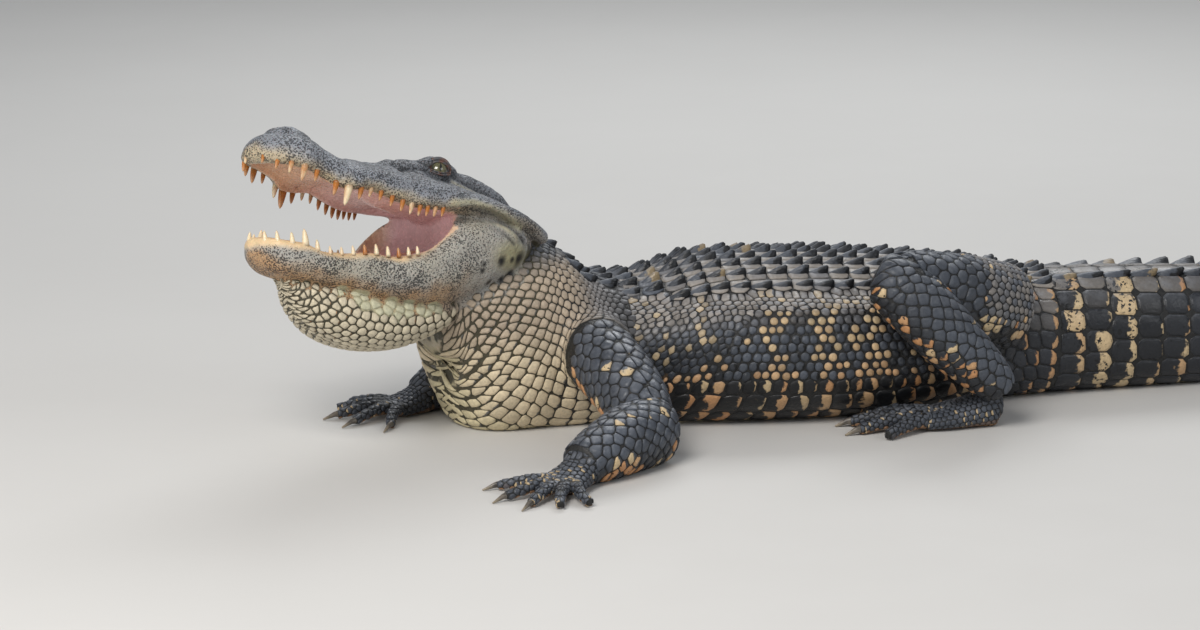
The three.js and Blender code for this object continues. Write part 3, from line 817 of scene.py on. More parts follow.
def skin_colours(points, normals, coat_tree, coat):
    """The skin's colour at each point: under scales that of the gaps between them, and its own on
    the head and in the mouth. Also how wet and how speckled it is."""
    head, jaw = HEAD.into(points), JAW.into(points)
    gaps, tints, reaches = coat
    found = [coat_tree.find(at)[1:] for at in points]
    nearest = np.array([index for index, _ in found])
    distance = np.array([away for _, away in found])
    bare = smooth(1.9, 2.6, distance / reaches[nearest])
    clear = smooth(1.15, 1.5, distance / reaches[nearest])
    behind_neck = smooth(-0.28, -0.25, points[:, 0])
    joints = np.minimum(gaps[nearest], mix(gaps[nearest], colour("gap_dark"), behind_neck))
    tint = mix(joints, tints[nearest] * (0.7 - 0.3 * behind_neck)[:, None], bare)
    marks = np.zeros((len(points), 3))
    marks[:, 1] = 0.15 * bare
    along, above = -head[:, 0] / MM, head[:, 2] / MM
    columns = np.array(MUZZLE, float).T
    bottom = np.interp(along, columns[0], columns[3])
    noise, fine = lumps(points, 0.03, 8), lumps(points, 0.012, 9)
    jaw_along, jaw_aside, jaw_above = -jaw[:, 0] / MM, np.abs(jaw[:, 1]) / MM, jaw[:, 2] / MM
    columns = np.array(MANDIBLE, float).T
    jaw_half, jaw_top, jaw_low = (np.interp(jaw_along, columns[0], columns[i]) for i in (1, 2, 3))
    # Upper head
    height = above - bottom
    on_top = (along > -30) & (height > -9) & (along < 345) & (above > -2)
    crown = smooth(20, 46, above - 4 * noise) * 0.42 * smooth(20, 60, 260 - along)
    skull = blend("head", "head_dark", crown)
    skull = mix(skull, colour("head_dark"), 0.5 * smooth(0.1, 0.8, noise))
    lip = 1 - smooth(3, 19, height + 5 * fine)
    shade = mix(skull, colour("lip"), lip * (0.45 + 0.55 * smooth(60, 110, along)))
    tint = mix(tint, shade, clear * on_top)
    marks[:, 1] = np.where(on_top, clear, marks[:, 1])
    # Lower jaw
    on_jaw = (jaw_along > -16) & (jaw_above < jaw_top + 5) & (jaw_above > jaw_low - 7) & (jaw_along < 300)
    on_jaw &= (jaw_aside < jaw_half + 9) & ~(on_top & (height > 1))
    share = (jaw_above - jaw_low) / np.maximum(jaw_top - jaw_low, 1)
    cheek = blend("jaw", "head", 0.35 + 0.35 * noise)
    edge = (1 - smooth(0.05, 0.5, share + 0.12 * fine)) * smooth(30, 110, jaw_along)
    cheek = mix(cheek, colour("jaw_edge"), edge)
    gum = smooth(-14, -5, jaw_above - jaw_top + 3 * fine) * smooth(72, 92, jaw_along)
    cheek = mix(cheek, colour("gum"), gum)
    web = (jaw_along > 20) & (jaw_along < 90) & (jaw_above > 0) & (jaw_aside > 50) & (height < 3)
    on_jaw |= web & ~on_top
    tint = mix(tint, cheek, clear * on_jaw)
    freckled = (1 - 0.35 * (1 - smooth(20, 90, jaw_along))) * (1 - 0.8 * gum) * clear
    marks[:, 1] = np.where(on_jaw, freckled, marks[:, 1])
    # Mouth
    in_palate = inside_loft(PALATE, 0.5, 3.4, 3, head, 2.6) & (normals @ HEAD.turn[:, 2] < 0.7)
    roof = blend("mouth_deep", "mouth", smooth(90, 150, along))
    roof = mix(roof, colour("palate"), smooth(170, 250, along + 14 * fine))
    tint = np.where(in_palate[:, None], roof, tint)
    in_mouth = inside_loft(MOUTH, 0.5, 4, 2.6, jaw, 3.0) & (jaw_above < jaw_top - 1.5) & ~in_palate
    between = (jaw_along > 46) & (jaw_along < 130) & (jaw_aside < jaw_half - 13) & (height < 3)
    between &= (jaw_above > 0) & ~in_palate & (jaw_along > 46 + 28 * smooth(54, 68, jaw_aside))
    lining = blend("mouth_deep", "mouth", smooth(60, 200, jaw_along))
    lining = mix(lining, colour("gum"), 0.7 * smooth(50, 76, jaw_aside) * (1 - smooth(90, 140, jaw_along)))
    tint = np.where((in_mouth | between)[:, None], lining, tint)
    behind = inside_loft(MANDIBLE, 0.62, 3, 2.4, jaw, -5) & (jaw_along > 10) & ~in_palate
    behind |= inside_loft(MUZZLE, 0.34, 2.3, 3, head, -5) & (along > 60) & (above < bottom + 40) & ~in_palate
    behind &= (jaw_aside < 60) | (jaw_along > 70)
    tint = np.where((behind & ~in_mouth & ~between)[:, None], lining, tint)
    wet = in_palate | in_mouth | between | behind
    marks[wet, 0] = 1
    marks[wet, 1] = 0
    # Darker and paler lines and spots: the dark eye rings, nostrils and groove lines are painted shade; the
    # dark spots by the mouth's corner are the skin's own
    dark = np.zeros(len(points))
    pale = np.zeros(len(points))
    patch = np.zeros(len(points))
    for side in (-1, 1):
        local = head - gaze(side)[0]
        ring = np.linalg.norm(local * [0.62, 1, 0.95], axis=1)
        # Painted shade round each eye, where the skin dips into the socket under the lids.
        dark = np.maximum(dark, 0.7 * np.exp(-((ring / 0.0108) ** 4)))
        # Painted shade in each sunk nostril.
        hole = np.linalg.norm(head - np.array([-300, side * 12, 60]) * MM, axis=1)
        dark = np.maximum(dark, np.exp(-((hole / 0.0055) ** 2)))
        # Painted shade along the sunk grooves
        for line, on_lower, width, share in DARK_LINES:
            dark = np.maximum(dark, line_weight(jaw if on_lower else head, line, side, width) * share)
        for line, on_lower, width, share in PALE_LINES:
            pale = np.maximum(pale, line_weight(jaw if on_lower else head, line, side, width) * share)
        spot = np.linalg.norm((jaw - np.array(mirrored([PATCH], side)[0]) * MM) * [0.75, 0.6, 1.15], axis=1)
        patch = np.maximum(patch, np.exp(-((spot / 0.020) ** 4)))
        for x, y, z, radius in PATCH_SPOTS:
            apart = (jaw - np.array([x, -side * y, z]) * MM) * [1, 0.4, 1]
            away = np.linalg.norm(apart, axis=1) * (1 + 0.4 * fine)
            dark = np.maximum(dark, np.exp(-((away / (radius * MM)) ** 4)))
    dry = ~wet
    # Painted shade along the sunk fold across the rear of the palate, in the tooth-root brown.
    palate_crease_shade = groove(head, PALATE_FOLD, 1.5, 1 / MM) * wet * (along > 200)
    tint = mix(tint, colour("root"), 0.85 * palate_crease_shade)
    tint = mix(tint, colour("patch"), patch * 0.75 * dry)
    tint = mix(tint, colour("corner"), pale * dry)
    # The painted shade of the eyes, nostrils and grooves, and the dark spots, darken the skin here.
    tint = mix(tint, colour("black") * 1.4, dark * dry)
    marks[:, 1] *= 1 - 0.6 * np.maximum(pale, patch)
    return tint, marks


# Unrolled parts
class Wrap:
    """A part's surface unrolled: s in metres along it, v from -1 to 1 round it and 0 on top."""

    ROWS, COLS = 241, 161

    def __init__(self, loft, place):
        share = np.linspace(0, 1, self.ROWS)
        turn = np.linspace(-math.pi, math.pi, 481)
        grid = loft.at(share[:, None], turn[None, :])
        steps = np.linalg.norm(np.diff(grid, axis=1), axis=2)
        around = np.concatenate([np.zeros((self.ROWS, 1)), np.cumsum(steps, 1)], 1)
        around -= around[:, 240:241]
        self.half = np.maximum((around[:, -1] - around[:, 0]) / 2, 1e-4)
        v = np.linspace(-1, 1, self.COLS)
        self.table = np.empty((self.ROWS, self.COLS, 3))
        for row in range(self.ROWS):
            low, high = -around[row, 0], around[row, -1]
            wanted = np.where(v < 0, v * low, v * high)
            for k in range(3):
                self.table[row, :, k] = np.interp(wanted, around[row], grid[row, :, k])
        middle = catmull(loft.rows[:, :3], share)
        self.s = np.concatenate([[0], np.cumsum(np.linalg.norm(np.diff(middle, axis=0), axis=1))])
        self.length = self.s[-1]
        self.place = place

    def girth(self, s):
        return np.interp(s, self.s, self.half)

    def at(self, s, v):
        row = np.interp(s, self.s, np.arange(self.ROWS))
        col = (np.mod(v + 1, 2)) / 2 * (self.COLS - 1)
        i = np.minimum(row.astype(int), self.ROWS - 2)
        j = np.minimum(col.astype(int), self.COLS - 2)
        a, b = (row - i)[..., None], (col - j)[..., None]
        t = self.table
        return (t[i, j] * (1 - a) * (1 - b) + t[i + 1, j] * a * (1 - b)
                + t[i, j + 1] * (1 - a) * b + t[i + 1, j + 1] * a * b)

    def unwrap(self, s, v):
        """The place on the skin's own unwrap, where each part has its own rectangle."""
        u0, v0, width, height = self.place
        return np.stack([u0 + width * s / self.length, v0 + height * (v + 1) / 2], -1)


# Kinds of scale: gap between neighbours in metres, how round from 0 to 1, height at the middle in
# metres, how far it leans up to the rear, from 0 to 1, and the colour of the skin between
KINDS = {
    "armour": (0.9, 0.1, 2.4, 0.15, "dust_and_sheen"),
    "wrinkle": (1.0, 0.0, 1.1, 0.1, "fold"),
    "flank": (1.2, 0.55, 1.8, 0.0, "gap"),
    "flank_pale": (2.6, 0.8, 1.7, 0.0, "gap_dark"),
    "square": (1.0, 0.1, 1.6, 0.25, "gap_dark"),
    "belly": (0.9, 0.05, 1.2, 0.1, "throat_gap"),
    "throat": (1.2, 0.15, 1.4, 0.1, "throat_gap"),
    "pleat": (0.7, 0.2, 1.3, 0.0, "corner"),
    "neck": (1.1, 0.12, 1.5, 0.25, "throat_gap"),
    "limb": (0.8, 0.1, 1.5, 0.45, "gap_dark"),
    "thigh": (1.1, 0.2, 1.5, 0.3, "gap_dark"),
    "toe": (0.7, 0.15, 0.9, 0.3, "gap_dark"),
    "whorl": (0.8, 0.0, 1.7, 0.45, "gap_dark"),
}
SIDES = 14  # of a scale's outline


def cells(x, y, size):
    """Each root's own cell between its neighbours, as its reach in every direction."""
    turns = np.arange(SIDES) * 2 * math.pi / SIDES
    directions = np.stack([np.cos(turns), np.sin(turns)], -1)
    points = np.stack([x, y], -1)
    reach = np.empty((len(points), SIDES))
    order = np.argsort(x)
    sorted_x = x[order]
    for start in range(0, len(points), 256):
        own = order[start:start + 256]
        widest = size[own].max() * 3.2
        low = np.searchsorted(sorted_x, x[own].min() - widest)
        high = np.searchsorted(sorted_x, x[own].max() + widest)
        others = points[order[low:high]]
        apart = others[None] - points[own][:, None]
        square = (apart**2).sum(-1)
        square[square < 1e-12] = 1e3
        nearest = np.argpartition(square, min(14, square.shape[1] - 1), axis=1)[:, :14]
        chosen = np.take_along_axis(apart, nearest[..., None], 1)
        gap = (chosen**2).sum(-1) / 2
        facing = np.einsum("knd,sd->kns", chosen, directions)
        limit = np.where(facing > 1e-6, gap[..., None] / np.maximum(facing, 1e-6), 1e3)
        reach[own] = limit.min(1)
    reach = np.minimum(reach, size[:, None] * 0.72)
    return reach, directions


class Coat:
    """Scales laid over one or more unrolled parts, as one mesh."""

    def __init__(self, name, slot):
        self.name, self.slot = name, slot
        self.points, self.tints, self.blotches, self.tiles, self.marks, self.places = [], [], [], [], [], []
        self.quads, self.triangles = [], []
        self.count = 0
        self.roots = 0

    def add(self, points, quads, triangles, tint, blotch, tile, mark, place):
        self.quads.append(quads + self.count)
        self.triangles.append(triangles + self.count)
        self.count += len(points)
        for store, value in zip((self.points, self.tints, self.blotches, self.tiles, self.marks, self.places),
                                (points, tint, blotch, tile, mark, place)):
            store.append(value)

    def finish(self, material):
        points = np.vstack(self.points)
        points[:, 2] = np.maximum(points[:, 2], 0)
        mesh = build_mesh(self.name, points, np.vstack(self.quads), np.vstack(self.triangles))
        add_colours(mesh, "tint", np.vstack(self.tints))
        add_colours(mesh, "blotch", np.vstack(self.blotches))
        add_vectors(mesh, "tile", np.vstack(self.tiles))
        add_vectors(mesh, "mark", np.vstack(self.marks))
        places = np.vstack(self.places)
        loops = np.empty(len(mesh.loops), np.int32)
        mesh.loops.foreach_get("vertex_index", loops)
        layer = mesh.uv_layers.new(name="OFBake")
        layer.data.foreach_set("uv", places[loops].astype(np.float32).ravel())
        made = piece(self.name, mesh, material)
        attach(made, "root")
        print(self.name, "scales", self.roots, "triangles", len(np.vstack(self.quads)) * 2
              + len(np.vstack(self.triangles)))
        return made


class Skin:
    """The skin's surface, for setting scales on it."""

    def __init__(self, mesh):
        self.points = coordinates(mesh)
        self.normals = normals_of(mesh)
        self.faces = triangles_of(mesh)
        self.tree = BVHTree.FromPolygons(self.points.tolist(), self.faces.tolist())
        self.centres, self.gaps, self.tints, self.reaches = [], [], [], []

    def onto(self, points):
        """The nearest places on the skin, and the skin's direction outwards there."""
        found, index = np.empty_like(points), np.empty(len(points), int)
        find = self.tree.find_nearest
        for i, at in enumerate(points):
            place, _, face, _ = find(at)
            found[i] = place
            index[i] = face
        return found, unit(self.normals[self.faces[index]].sum(1))


RINGS = ((1.0, -0.5), (0.94, 0.42), (0.7, 0.88))


def solid_faces(sides, rings):
    """The faces of a closed plate: its rings from the rim up, a fan on top and one below."""
    i = np.arange(sides)
    j = (i + 1) % sides
    starts = np.arange(rings - 1) * sides
    quads = np.concatenate([np.stack([r + i, r + j, r + sides + j, r + sides + i], -1) for r in starts])
    top = np.stack([(rings - 1) * sides + i, (rings - 1) * sides + j, np.full(sides, rings * sides)], -1)
    under = np.stack([np.zeros(sides - 2, int), i[2:], i[1:-1]], -1)
    return quads, np.vstack([top, under])


def tree_of(points):
    """A tree that finds the nearest of some points."""
    tree = KDTree(len(points))
    for i, at in enumerate(points):
        tree.insert(at, i)
    tree.balance()
    return tree


def many(faces, number, corners):
    return (faces[None] + np.arange(number)[:, None, None] * corners).reshape(-1, faces.shape[1])


def on_face(points):
    """Whether points lie on the head or the jaw, or in the mouth."""
    return (inside_loft(MANDIBLE, 0.62, 3, 2.4, JAW.into(points), 1.5)
            | inside_loft(MUZZLE, 0.34, 2.3, 3, HEAD.into(points), 1.5))


def lay(coat, skin, wrap, roots, paint, taken=None, drift_limit=0.026):
    """Lays a scale over the skin at each root of an unrolled part, and returns their middles.
    roots has s, v, size and kind; paint gives tint, rear colour, where that starts, and spots."""
    s, v, size, kind = roots
    keep = (s > 0.001) & (s < wrap.length - 0.001)
    s, v, size, kind = s[keep], v[keep], size[keep], kind[keep]
    girth = wrap.girth(s)
    y = v * girth
    around = np.abs(v) > 0.7
    ghost_y = (v - 2 * np.sign(v)) * girth
    reach, directions = cells(np.concatenate([s, s[around]]), np.concatenate([y, ghost_y[around]]),
                              np.concatenate([size, size[around]]))
    reach = reach[:len(s)]
    middles = wrap.at(s, v)
    landed, _ = skin.onto(middles)
    drift = landed - middles
    keep = (np.linalg.norm(drift, axis=1) < drift_limit) & ~on_face(landed)
    if taken is not None and len(taken):
        tree = tree_of(taken)
        keep &= np.array([tree.find(at)[2] for at in landed]) > 0.56 * size
    s, v, y, size, kind = s[keep], v[keep], y[keep], size[keep], kind[keep]
    reach, drift, middles = reach[keep], drift[keep], middles[keep]
    count = len(s)
    if not count:
        return np.zeros((0, 3))
    gap, roundness, height, lean = (np.array([KINDS[k][i] for k in kind], float) for i in range(4))
    mean = np.minimum(reach.mean(1), reach.min(1) * 1.2)[:, None]
    reach = reach + (mean - reach) * roundness[:, None]
    reach = np.maximum(reach - gap[:, None] * MM / 2, reach * 0.5)
    scales = np.array([share for share, _ in RINGS])
    p = (reach[:, None] * directions[:, 0] * scales[:, None]).reshape(count, -1)
    q = (reach[:, None] * directions[:, 1] * scales[:, None]).reshape(count, -1)
    p, q = (np.concatenate([x, np.zeros((count, 1))], 1) for x in (p, q))
    rise = np.concatenate([np.repeat([up for _, up in RINGS], SIDES), [1.0]])[None] * np.ones((count, 1))
    half = reach.mean(1)[:, None]
    rise = np.where(rise > 0, rise * (1 + lean[:, None] * p / half), rise)
    place_s = s[:, None] + p
    base = wrap.at(place_s, (y[:, None] + q) / wrap.girth(place_s))
    flat, normal = skin.onto(base.reshape(-1, 3))
    flat, normal = flat.reshape(base.shape), normal.reshape(base.shape)
    slip = np.linalg.norm((flat - base) - drift[:, None], axis=2).max(1)
    good = slip < np.maximum(0.010, 0.8 * size)
    corners = len(RINGS) * SIDES + 1
    lifted = (flat + normal * (rise * height[:, None] * MM)[..., None])[good]
    number = len(lifted)
    rim = np.concatenate([np.repeat([0, 0.3, 0.75], SIDES), [1.0]])
    local = np.stack([p / half, q / half, np.broadcast_to(rim, p.shape)], -1)[good]
    tint, blotch, split, spots = paint(s, v, kind, middles)
    mark = np.stack([split, spots, rng.random(count)], -1)
    place = wrap.unwrap(s, v)[:, None] + np.stack([p, q], -1) / half[..., None] * 0.0015

    def spread(values):
        return np.repeat(values[good][:, None], corners, 1).reshape(number * corners, -1)

    quads, triangles = solid_faces(SIDES, len(RINGS))
    coat.add(lifted.reshape(-1, 3), many(quads, number, corners), many(triangles, number, corners),
             spread(tint), spread(blotch), local.reshape(-1, 3), spread(mark), place[good].reshape(-1, 2))
    coat.roots += number
    between = np.array([colour(KINDS[k][4]) for k in kind])
    skin.centres.append(lifted[:, -1])
    net = np.isin(kind, ("flank", "wrinkle"))[:, None]
    skin.gaps.append(np.where(net, between, np.minimum(between, 0.7 * tint + 0.05))[good])
    skin.tints.append(tint[good])
    skin.reaches.append(reach.mean(1)[good])
    return lifted[:, -1]


def raise_fins(coat, skin, wrap, s, v, length, width, height, paint, sweep=0.35, splay=0.0):
    """Stands a keel on each place: a lens that rises to the rear and leans back by its sweep."""
    middles = wrap.at(s, v)
    base, normal = skin.onto(middles)
    ahead = wrap.at(s + 0.004, v) - wrap.at(s - 0.004, v)
    ahead = unit(ahead - normal * (ahead * normal).sum(1, keepdims=True))
    aside = np.cross(normal, ahead)
    up = unit(normal + aside * np.broadcast_to(splay, s.shape)[:, None])
    stations = np.linspace(-1, 1, 11)
    profile = np.interp(stations, [-1, -0.6, -0.1, 0.35, 0.7, 0.88, 1],
                        [0.02, 0.30, 0.66, 0.92, 1.0, 0.74, 0.06])
    thick = (1 - np.abs(stations) ** 3) * 0.9 + 0.1
    across = np.array([-1, -0.78, -0.48, -0.2, 0.2, 0.48, 0.78, 1])
    tall = np.array([-0.12, 0.2, 0.64, 0.98, 0.98, 0.64, 0.2, -0.12])
    count, sections, sides = len(s), len(stations), len(across)
    wave = 1 + 0.10 * (rng.random((count, sections)) - 0.5)
    rise = height[:, None, None] * (profile * wave)[..., None] * tall
    lateral = width[:, None, None] / 2 * thick[None, :, None] * across
    forth = length[:, None, None] / 2 * stations[None, :, None] + np.maximum(rise, 0) * sweep
    points = (base[:, None, None] + ahead[:, None, None] * forth[..., None]
              + aside[:, None, None] * lateral[..., None] + up[:, None, None] * rise[..., None])
    i, j = np.meshgrid(np.arange(sections - 1), np.arange(sides), indexing="ij")
    a, b = i * sides + j, i * sides + (j + 1) % sides
    quads = np.stack([a, b, b + sides, a + sides], -1).reshape(-1, 4)
    k = np.arange(1, sides - 1)
    last = (sections - 1) * sides
    caps = np.vstack([np.stack([np.zeros_like(k), k + 1, k], -1),
                      np.stack([np.full_like(k, last), last + k, last + k + 1], -1)])
    corners = sections * sides
    tint, blotch, split, spots = paint(s, v, np.full(count, "armour"), middles)
    mark = np.stack([split, spots, rng.random(count)], -1)
    rim = np.clip(tall, 0.25, 1) * wave[..., None]
    local = np.stack(np.broadcast_arrays(stations[None, :, None], across[None, None], rim), -1)
    place = wrap.unwrap(s, v)[:, None] + local.reshape(count, corners, 3)[..., :2] * 0.0012

    def spread(values):
        return np.repeat(values[:, None], corners, 1).reshape(count * corners, -1)

    coat.add(points.reshape(-1, 3), many(quads, count, corners), many(caps, count, corners), spread(tint),
             spread(blotch), local.reshape(-1, 3), spread(mark), place.reshape(-1, 2))
    coat.roots += count


def named(kind, count):
    return np.full(count, kind, "<U12")


def graded(s_range, v_range, size_at, kind, girth, stretch=1.0, jitter=0.1, stagger=0.5):
    """Roots on both sides in rows along a part, at a spacing that changes over it."""
    found = []
    v, row = v_range[0], 0
    while True:
        step = float(size_at(0.5 * (s_range[0] + s_range[1]), v)) / girth
        if v + 0.6 * step > v_range[1]:
            return found
        middle = v + step / 2
        for side in (-1, 1):
            places, s = [], s_range[0] + (row % 2) * stagger * float(size_at(s_range[0], v))
            while s < s_range[1]:
                places.append(s)
                s += float(size_at(s, middle)) * stretch
            places = np.array(places)
            sizes = size_at(places, np.full(len(places), middle)) * np.ones(len(places))
            shift = rng.uniform(-jitter, jitter, (2, len(places))) * sizes
            found.append((places + shift[0], side * (middle + shift[1] / girth),
                          sizes * max(stretch, 1.0) * 1.06, named(kind, len(places))))
        v += step
        row += 1


def slanted(s_range, v_range, along, across, slope, kind, girth):
    """Roots of long narrow scales in folds that run down to the rear."""
    turn = math.radians(slope)
    i, j = np.meshgrid(np.arange(-90, 90), np.arange(-90, 90))
    i = (i + 0.5 * (j % 2)).ravel() * along
    j = j.ravel() * across
    i = i + rng.uniform(-0.16, 0.16, i.shape) * along
    j = j + rng.uniform(-0.10, 0.10, j.shape) * across
    s = i * math.cos(turn) - j * math.sin(turn)
    v = (i * math.sin(turn) + j * math.cos(turn)) / girth
    low, high = v_range(s)
    keep = (s > s_range[0]) & (s < s_range[1]) & (v > low) & (v < high)
    s, v = s[keep], v[keep]
    found = []
    for side in (-1, 1):
        found.append((s, side * v, np.full(len(s), along), named(kind, len(s))))
    return found


def across_rows(places, width, v_range, kind, length, girth_at, jitter=0.05, brick=True):
    """Roots in rows across a part, every other row moved by half a scale."""
    found = []
    for row, s in enumerate(places):
        girth = float(girth_at(s))
        count = max(int(round((v_range[1] - v_range[0]) * girth / width)), 1)
        step = (v_range[1] - v_range[0]) / count
        for side in (-1, 1):
            v = v_range[0] + (np.arange(count) + (0.5 if not brick else 0.25 + 0.5 * (row % 2))) * step
            shift = rng.uniform(-jitter, jitter, (2, count))
            found.append((s + shift[0] * length, side * (v + shift[1] * step),
                          np.full(count, max(length, step * girth) * 1.06), named(kind, count)))
    return found


def gathered(*groups):
    flat = [row for group in groups for row in group]
    return tuple(np.concatenate([row[i] for row in flat]) for i in range(4))


# Markings
def bands(x, middles, half):
    """How far inside the pale bands across the body each place is, from 0 to 1."""
    inside = np.zeros_like(x)
    for middle in middles:
        inside = np.maximum(inside, 1 - smooth(0.5 * half, 1.3 * half, np.abs(x - middle)))
    return inside


FLANK_BANDS = (-0.159, -0.099, -0.028, 0.036, 0.084, 0.150, 0.205)
TAIL_BANDS = (0.336, 0.393, 0.459, 0.56, 0.66, 0.77, 0.88, 0.99, 1.10, 1.21, 1.32, 1.42)


def varied(base, count, amount=0.16):
    return base * (1 + rng.uniform(-amount, amount, (count, 1)))


def paint_trunk(s, v, kind, points):
    count = len(s)
    x, side = points[:, 0], np.abs(v)
    noise = lumps(points, 0.05, 21)
    chance = rng.random(count)
    pale = bands(x + 0.006 * noise, FLANK_BANDS, 0.014)
    tint, blotch = np.empty((count, 3)), np.empty((count, 3))
    split, spots = np.full(count, 1.5), np.full(count, 0.1)
    armour = kind == "armour"
    dusty = blend("dust_and_sheen", "slate_light", smooth(-0.2, 0.9, noise + chance - 0.5))
    tint[armour] = dusty[armour]
    blotch[armour] = blend("slate_dark", "wrinkle", 0.3 * chance)[armour]
    split[armour] = 0.6 + 0.8 * chance[armour]
    wrinkle = kind == "wrinkle"
    folds = blend("wrinkle", "slate_light", smooth(0.33, 0.42, side + 0.03 * noise))
    folds = mix(folds, colour("slate"), 0.7 * smooth(0.38, 0.46, side + 0.03 * noise))
    folds = mix(folds, colour("cream"), 0.7 * (chance < 0.12 + 0.1 * pale))
    tint[wrinkle] = (folds * (0.50 + 0.62 * rng.random((count, 1))))[wrinkle]
    blotch[wrinkle] = colour("slate")
    split[wrinkle] = 0.75
    flank = kind == "flank"
    button = blend("slate_dark", "slate_light", smooth(-0.5, 1.9, noise + 0.9 * chance))
    tint[flank] = mix(button, colour("wrinkle"), 0.35 * smooth(0.42, 0.34, side))[flank]
    blotch[flank] = colour("black")
    split[flank] = 0.4 + chance[flank]
    cream = kind == "flank_pale"
    dots = blend("cream", "tan", 0.5 * smooth(0.45, 0.55, side) + 0.3 * chance)
    tint[cream] = (dots * (0.58 + 0.4 * rng.random((count, 1))))[cream]
    blotch[cream] = tint[cream] * 0.6
    spots[cream] = 0.25
    square = kind == "square"
    tint[square] = varied(colour("black") * 1.5, square.sum(), 0.3)
    blotch[square] = mix(colour("cream") * 0.85, colour("orange"), chance)[square]
    split[square] = (0.75 - 0.5 * pale - 0.4 * rng.random(count))[square]
    rear = square & (s > 0.43)
    split[rear] = (0.5 + 0.8 * chance)[rear]
    spots[square] = 0.3
    belly = kind == "belly"
    tint[belly] = varied(colour("belly"), belly.sum(), 0.08)
    blotch[belly] = colour("tan")
    split[belly] = 1.0
    hip = kind == "whorl"
    streak = blend("slate", "wrinkle", smooth(0.5, 0.2, side) * 0.8)
    tint[hip] = (streak * (0.8 + 0.4 * rng.random((count, 1))))[hip]
    blotch[hip] = blend("orange", "cream", chance)[hip]
    split[hip] = (0.3 + 1.2 * chance)[hip]
    under = hip & (side > 0.82)
    tint[under] = colour("belly") * 0.8
    return tint, blotch, split, spots


def paint_neck(s, v, kind, points):
    count = len(s)
    height = points[:, 2]
    chance = rng.random(count)
    noise = lumps(points, 0.04, 22)
    tint = blend("chest", "neck", smooth(0.07, 0.14, height + 0.02 * noise))
    tint = mix(tint, colour("head_dark"), smooth(0.17, 0.20, height + 0.01 * noise))
    rear = smooth(-0.25, -0.21, points[:, 0]) * smooth(0.0, 0.07, height)
    tint = mix(tint, colour("slate_light"), 0.75 * rear)
    tint = mix(tint, colour("slate"), 0.7 * smooth(-0.215, -0.185, points[:, 0]))
    tint = mix(tint, colour("belly"), smooth(0.75, 0.9, np.abs(v)))
    tint = varied(tint, count, 0.12)
    blotch = blend("gap", "throat_gap", chance)
    split = 0.75 + 0.6 * chance
    armour = kind == "armour"
    tint[armour] = colour("slate")
    blotch[armour] = colour("slate_dark")
    return tint, blotch, split, np.full(count, 0.12)


def paint_pouch(s, v, kind, points):
    count = len(s)
    chance = rng.random(count)
    tint = blend("throat", "neck", smooth(-0.40, -0.33, points[:, 0]))
    tint = np.where((kind == "pleat")[:, None], colour("pleat"), tint)
    split = np.where(kind == "pleat", 1.1, 0.7 + 0.5 * chance)
    blotch = blend("throat_gap", "tan", chance)
    return varied(tint, count, 0.12), blotch, split, np.full(count, 0.1)


def paint_limb(orange_under, cream_spots):
    """Dark plates with pale rear corners here and there, and orange patches below."""
    def paint(s, v, kind, points):
        count = len(s)
        chance = rng.random(count)
        noise = lumps(points, 0.035, 23)
        below = smooth(0.5, 0.68, np.abs(v) + 0.06 * noise)
        tint = blend("slate", "slate_light", 0.6 + 0.5 * noise)
        tint = mix(tint, colour("black") * 1.4, 0.8 * below)
        fine = kind == "thigh"
        tint[fine] = mix(colour("slate_light"), colour("wrinkle") * 0.8, chance)[fine]
        creamy = smooth(-0.1, 0.5, lumps(points, 0.02, 28) + 0.8 * (1 - below))
        blotch = blend("orange", "cream", creamy)
        share = cream_spots * (1 - below) + orange_under * below
        spotted = chance < share * (1 + 0.8 * noise)
        split = np.where(spotted, rng.uniform(-0.7, 0.6, count) + 0.35 * (1 - below), 1.6)
        return tint, blotch, split, np.where(spotted, 0.6, 0.1)
    return paint


def paint_foot(s, v, kind, points):
    count = len(s)
    noise = lumps(points, 0.02, 25)
    chance = rng.random(count)
    tint = blend("slate", "slate_light", 0.5 + 0.5 * noise)
    tint = mix(tint, colour("tan") * 0.5, smooth(0.6, 0.8, np.abs(v)))
    pale = 0.5 * noise + chance > 0.92
    blotch = np.where(pale[:, None], colour("cream") * 0.8, tint * 0.6)
    return tint, blotch, np.where(pale, 0.1 + 0.4 * chance, 0.9), np.full(count, 0.1)


def paint_tail(s, v, kind, points):
    count = len(s)
    x = points[:, 0]
    chance = rng.random(count)
    noise = lumps(points, 0.05, 26)
    side = np.abs(v)
    pale = bands(x + 0.014 * noise, TAIL_BANDS, 0.019) * (1 - 0.7 * smooth(0.45, 1.2, x))
    tint = blend("slate_dark", "slate", 0.5 + 0.5 * noise)
    # The tail's top is lightened towards pale grey: partly dust, partly painted sheen where it faces the
    # light.
    tint = mix(tint, colour("dust_and_sheen"), 0.6 * (1 - smooth(0.12, 0.30, side + 0.05 * noise)))
    blotch = blend("cream", "orange", smooth(-0.2, 1.0, lumps(points, 0.03, 27)))
    split = 1.35 - 2.0 * pale * (0.5 + 0.5 * chance) * smooth(0.05, 0.25, side)
    split = np.where(chance < 0.55, np.minimum(split, 0.88 + 0.3 * chance), split)
    tint = mix(tint, colour("belly") * 0.75, smooth(0.86, 0.94, side))
    return tint, blotch, split, 0.15 + 0.8 * pale


def paint_fin(s, v, kind, points):
    count = len(s)
    chance = rng.random(count)
    tint = blend("slate", "slate_light", 0.8 * chance)
    mottled = rng.random(count) < 0.06
    blotch = np.where(mottled[:, None], colour("cream") * 0.45, colour("slate_dark"))
    return tint, blotch, np.where(mottled, 0.1, -0.1 + 0.4 * chance), np.full(count, 0.2)


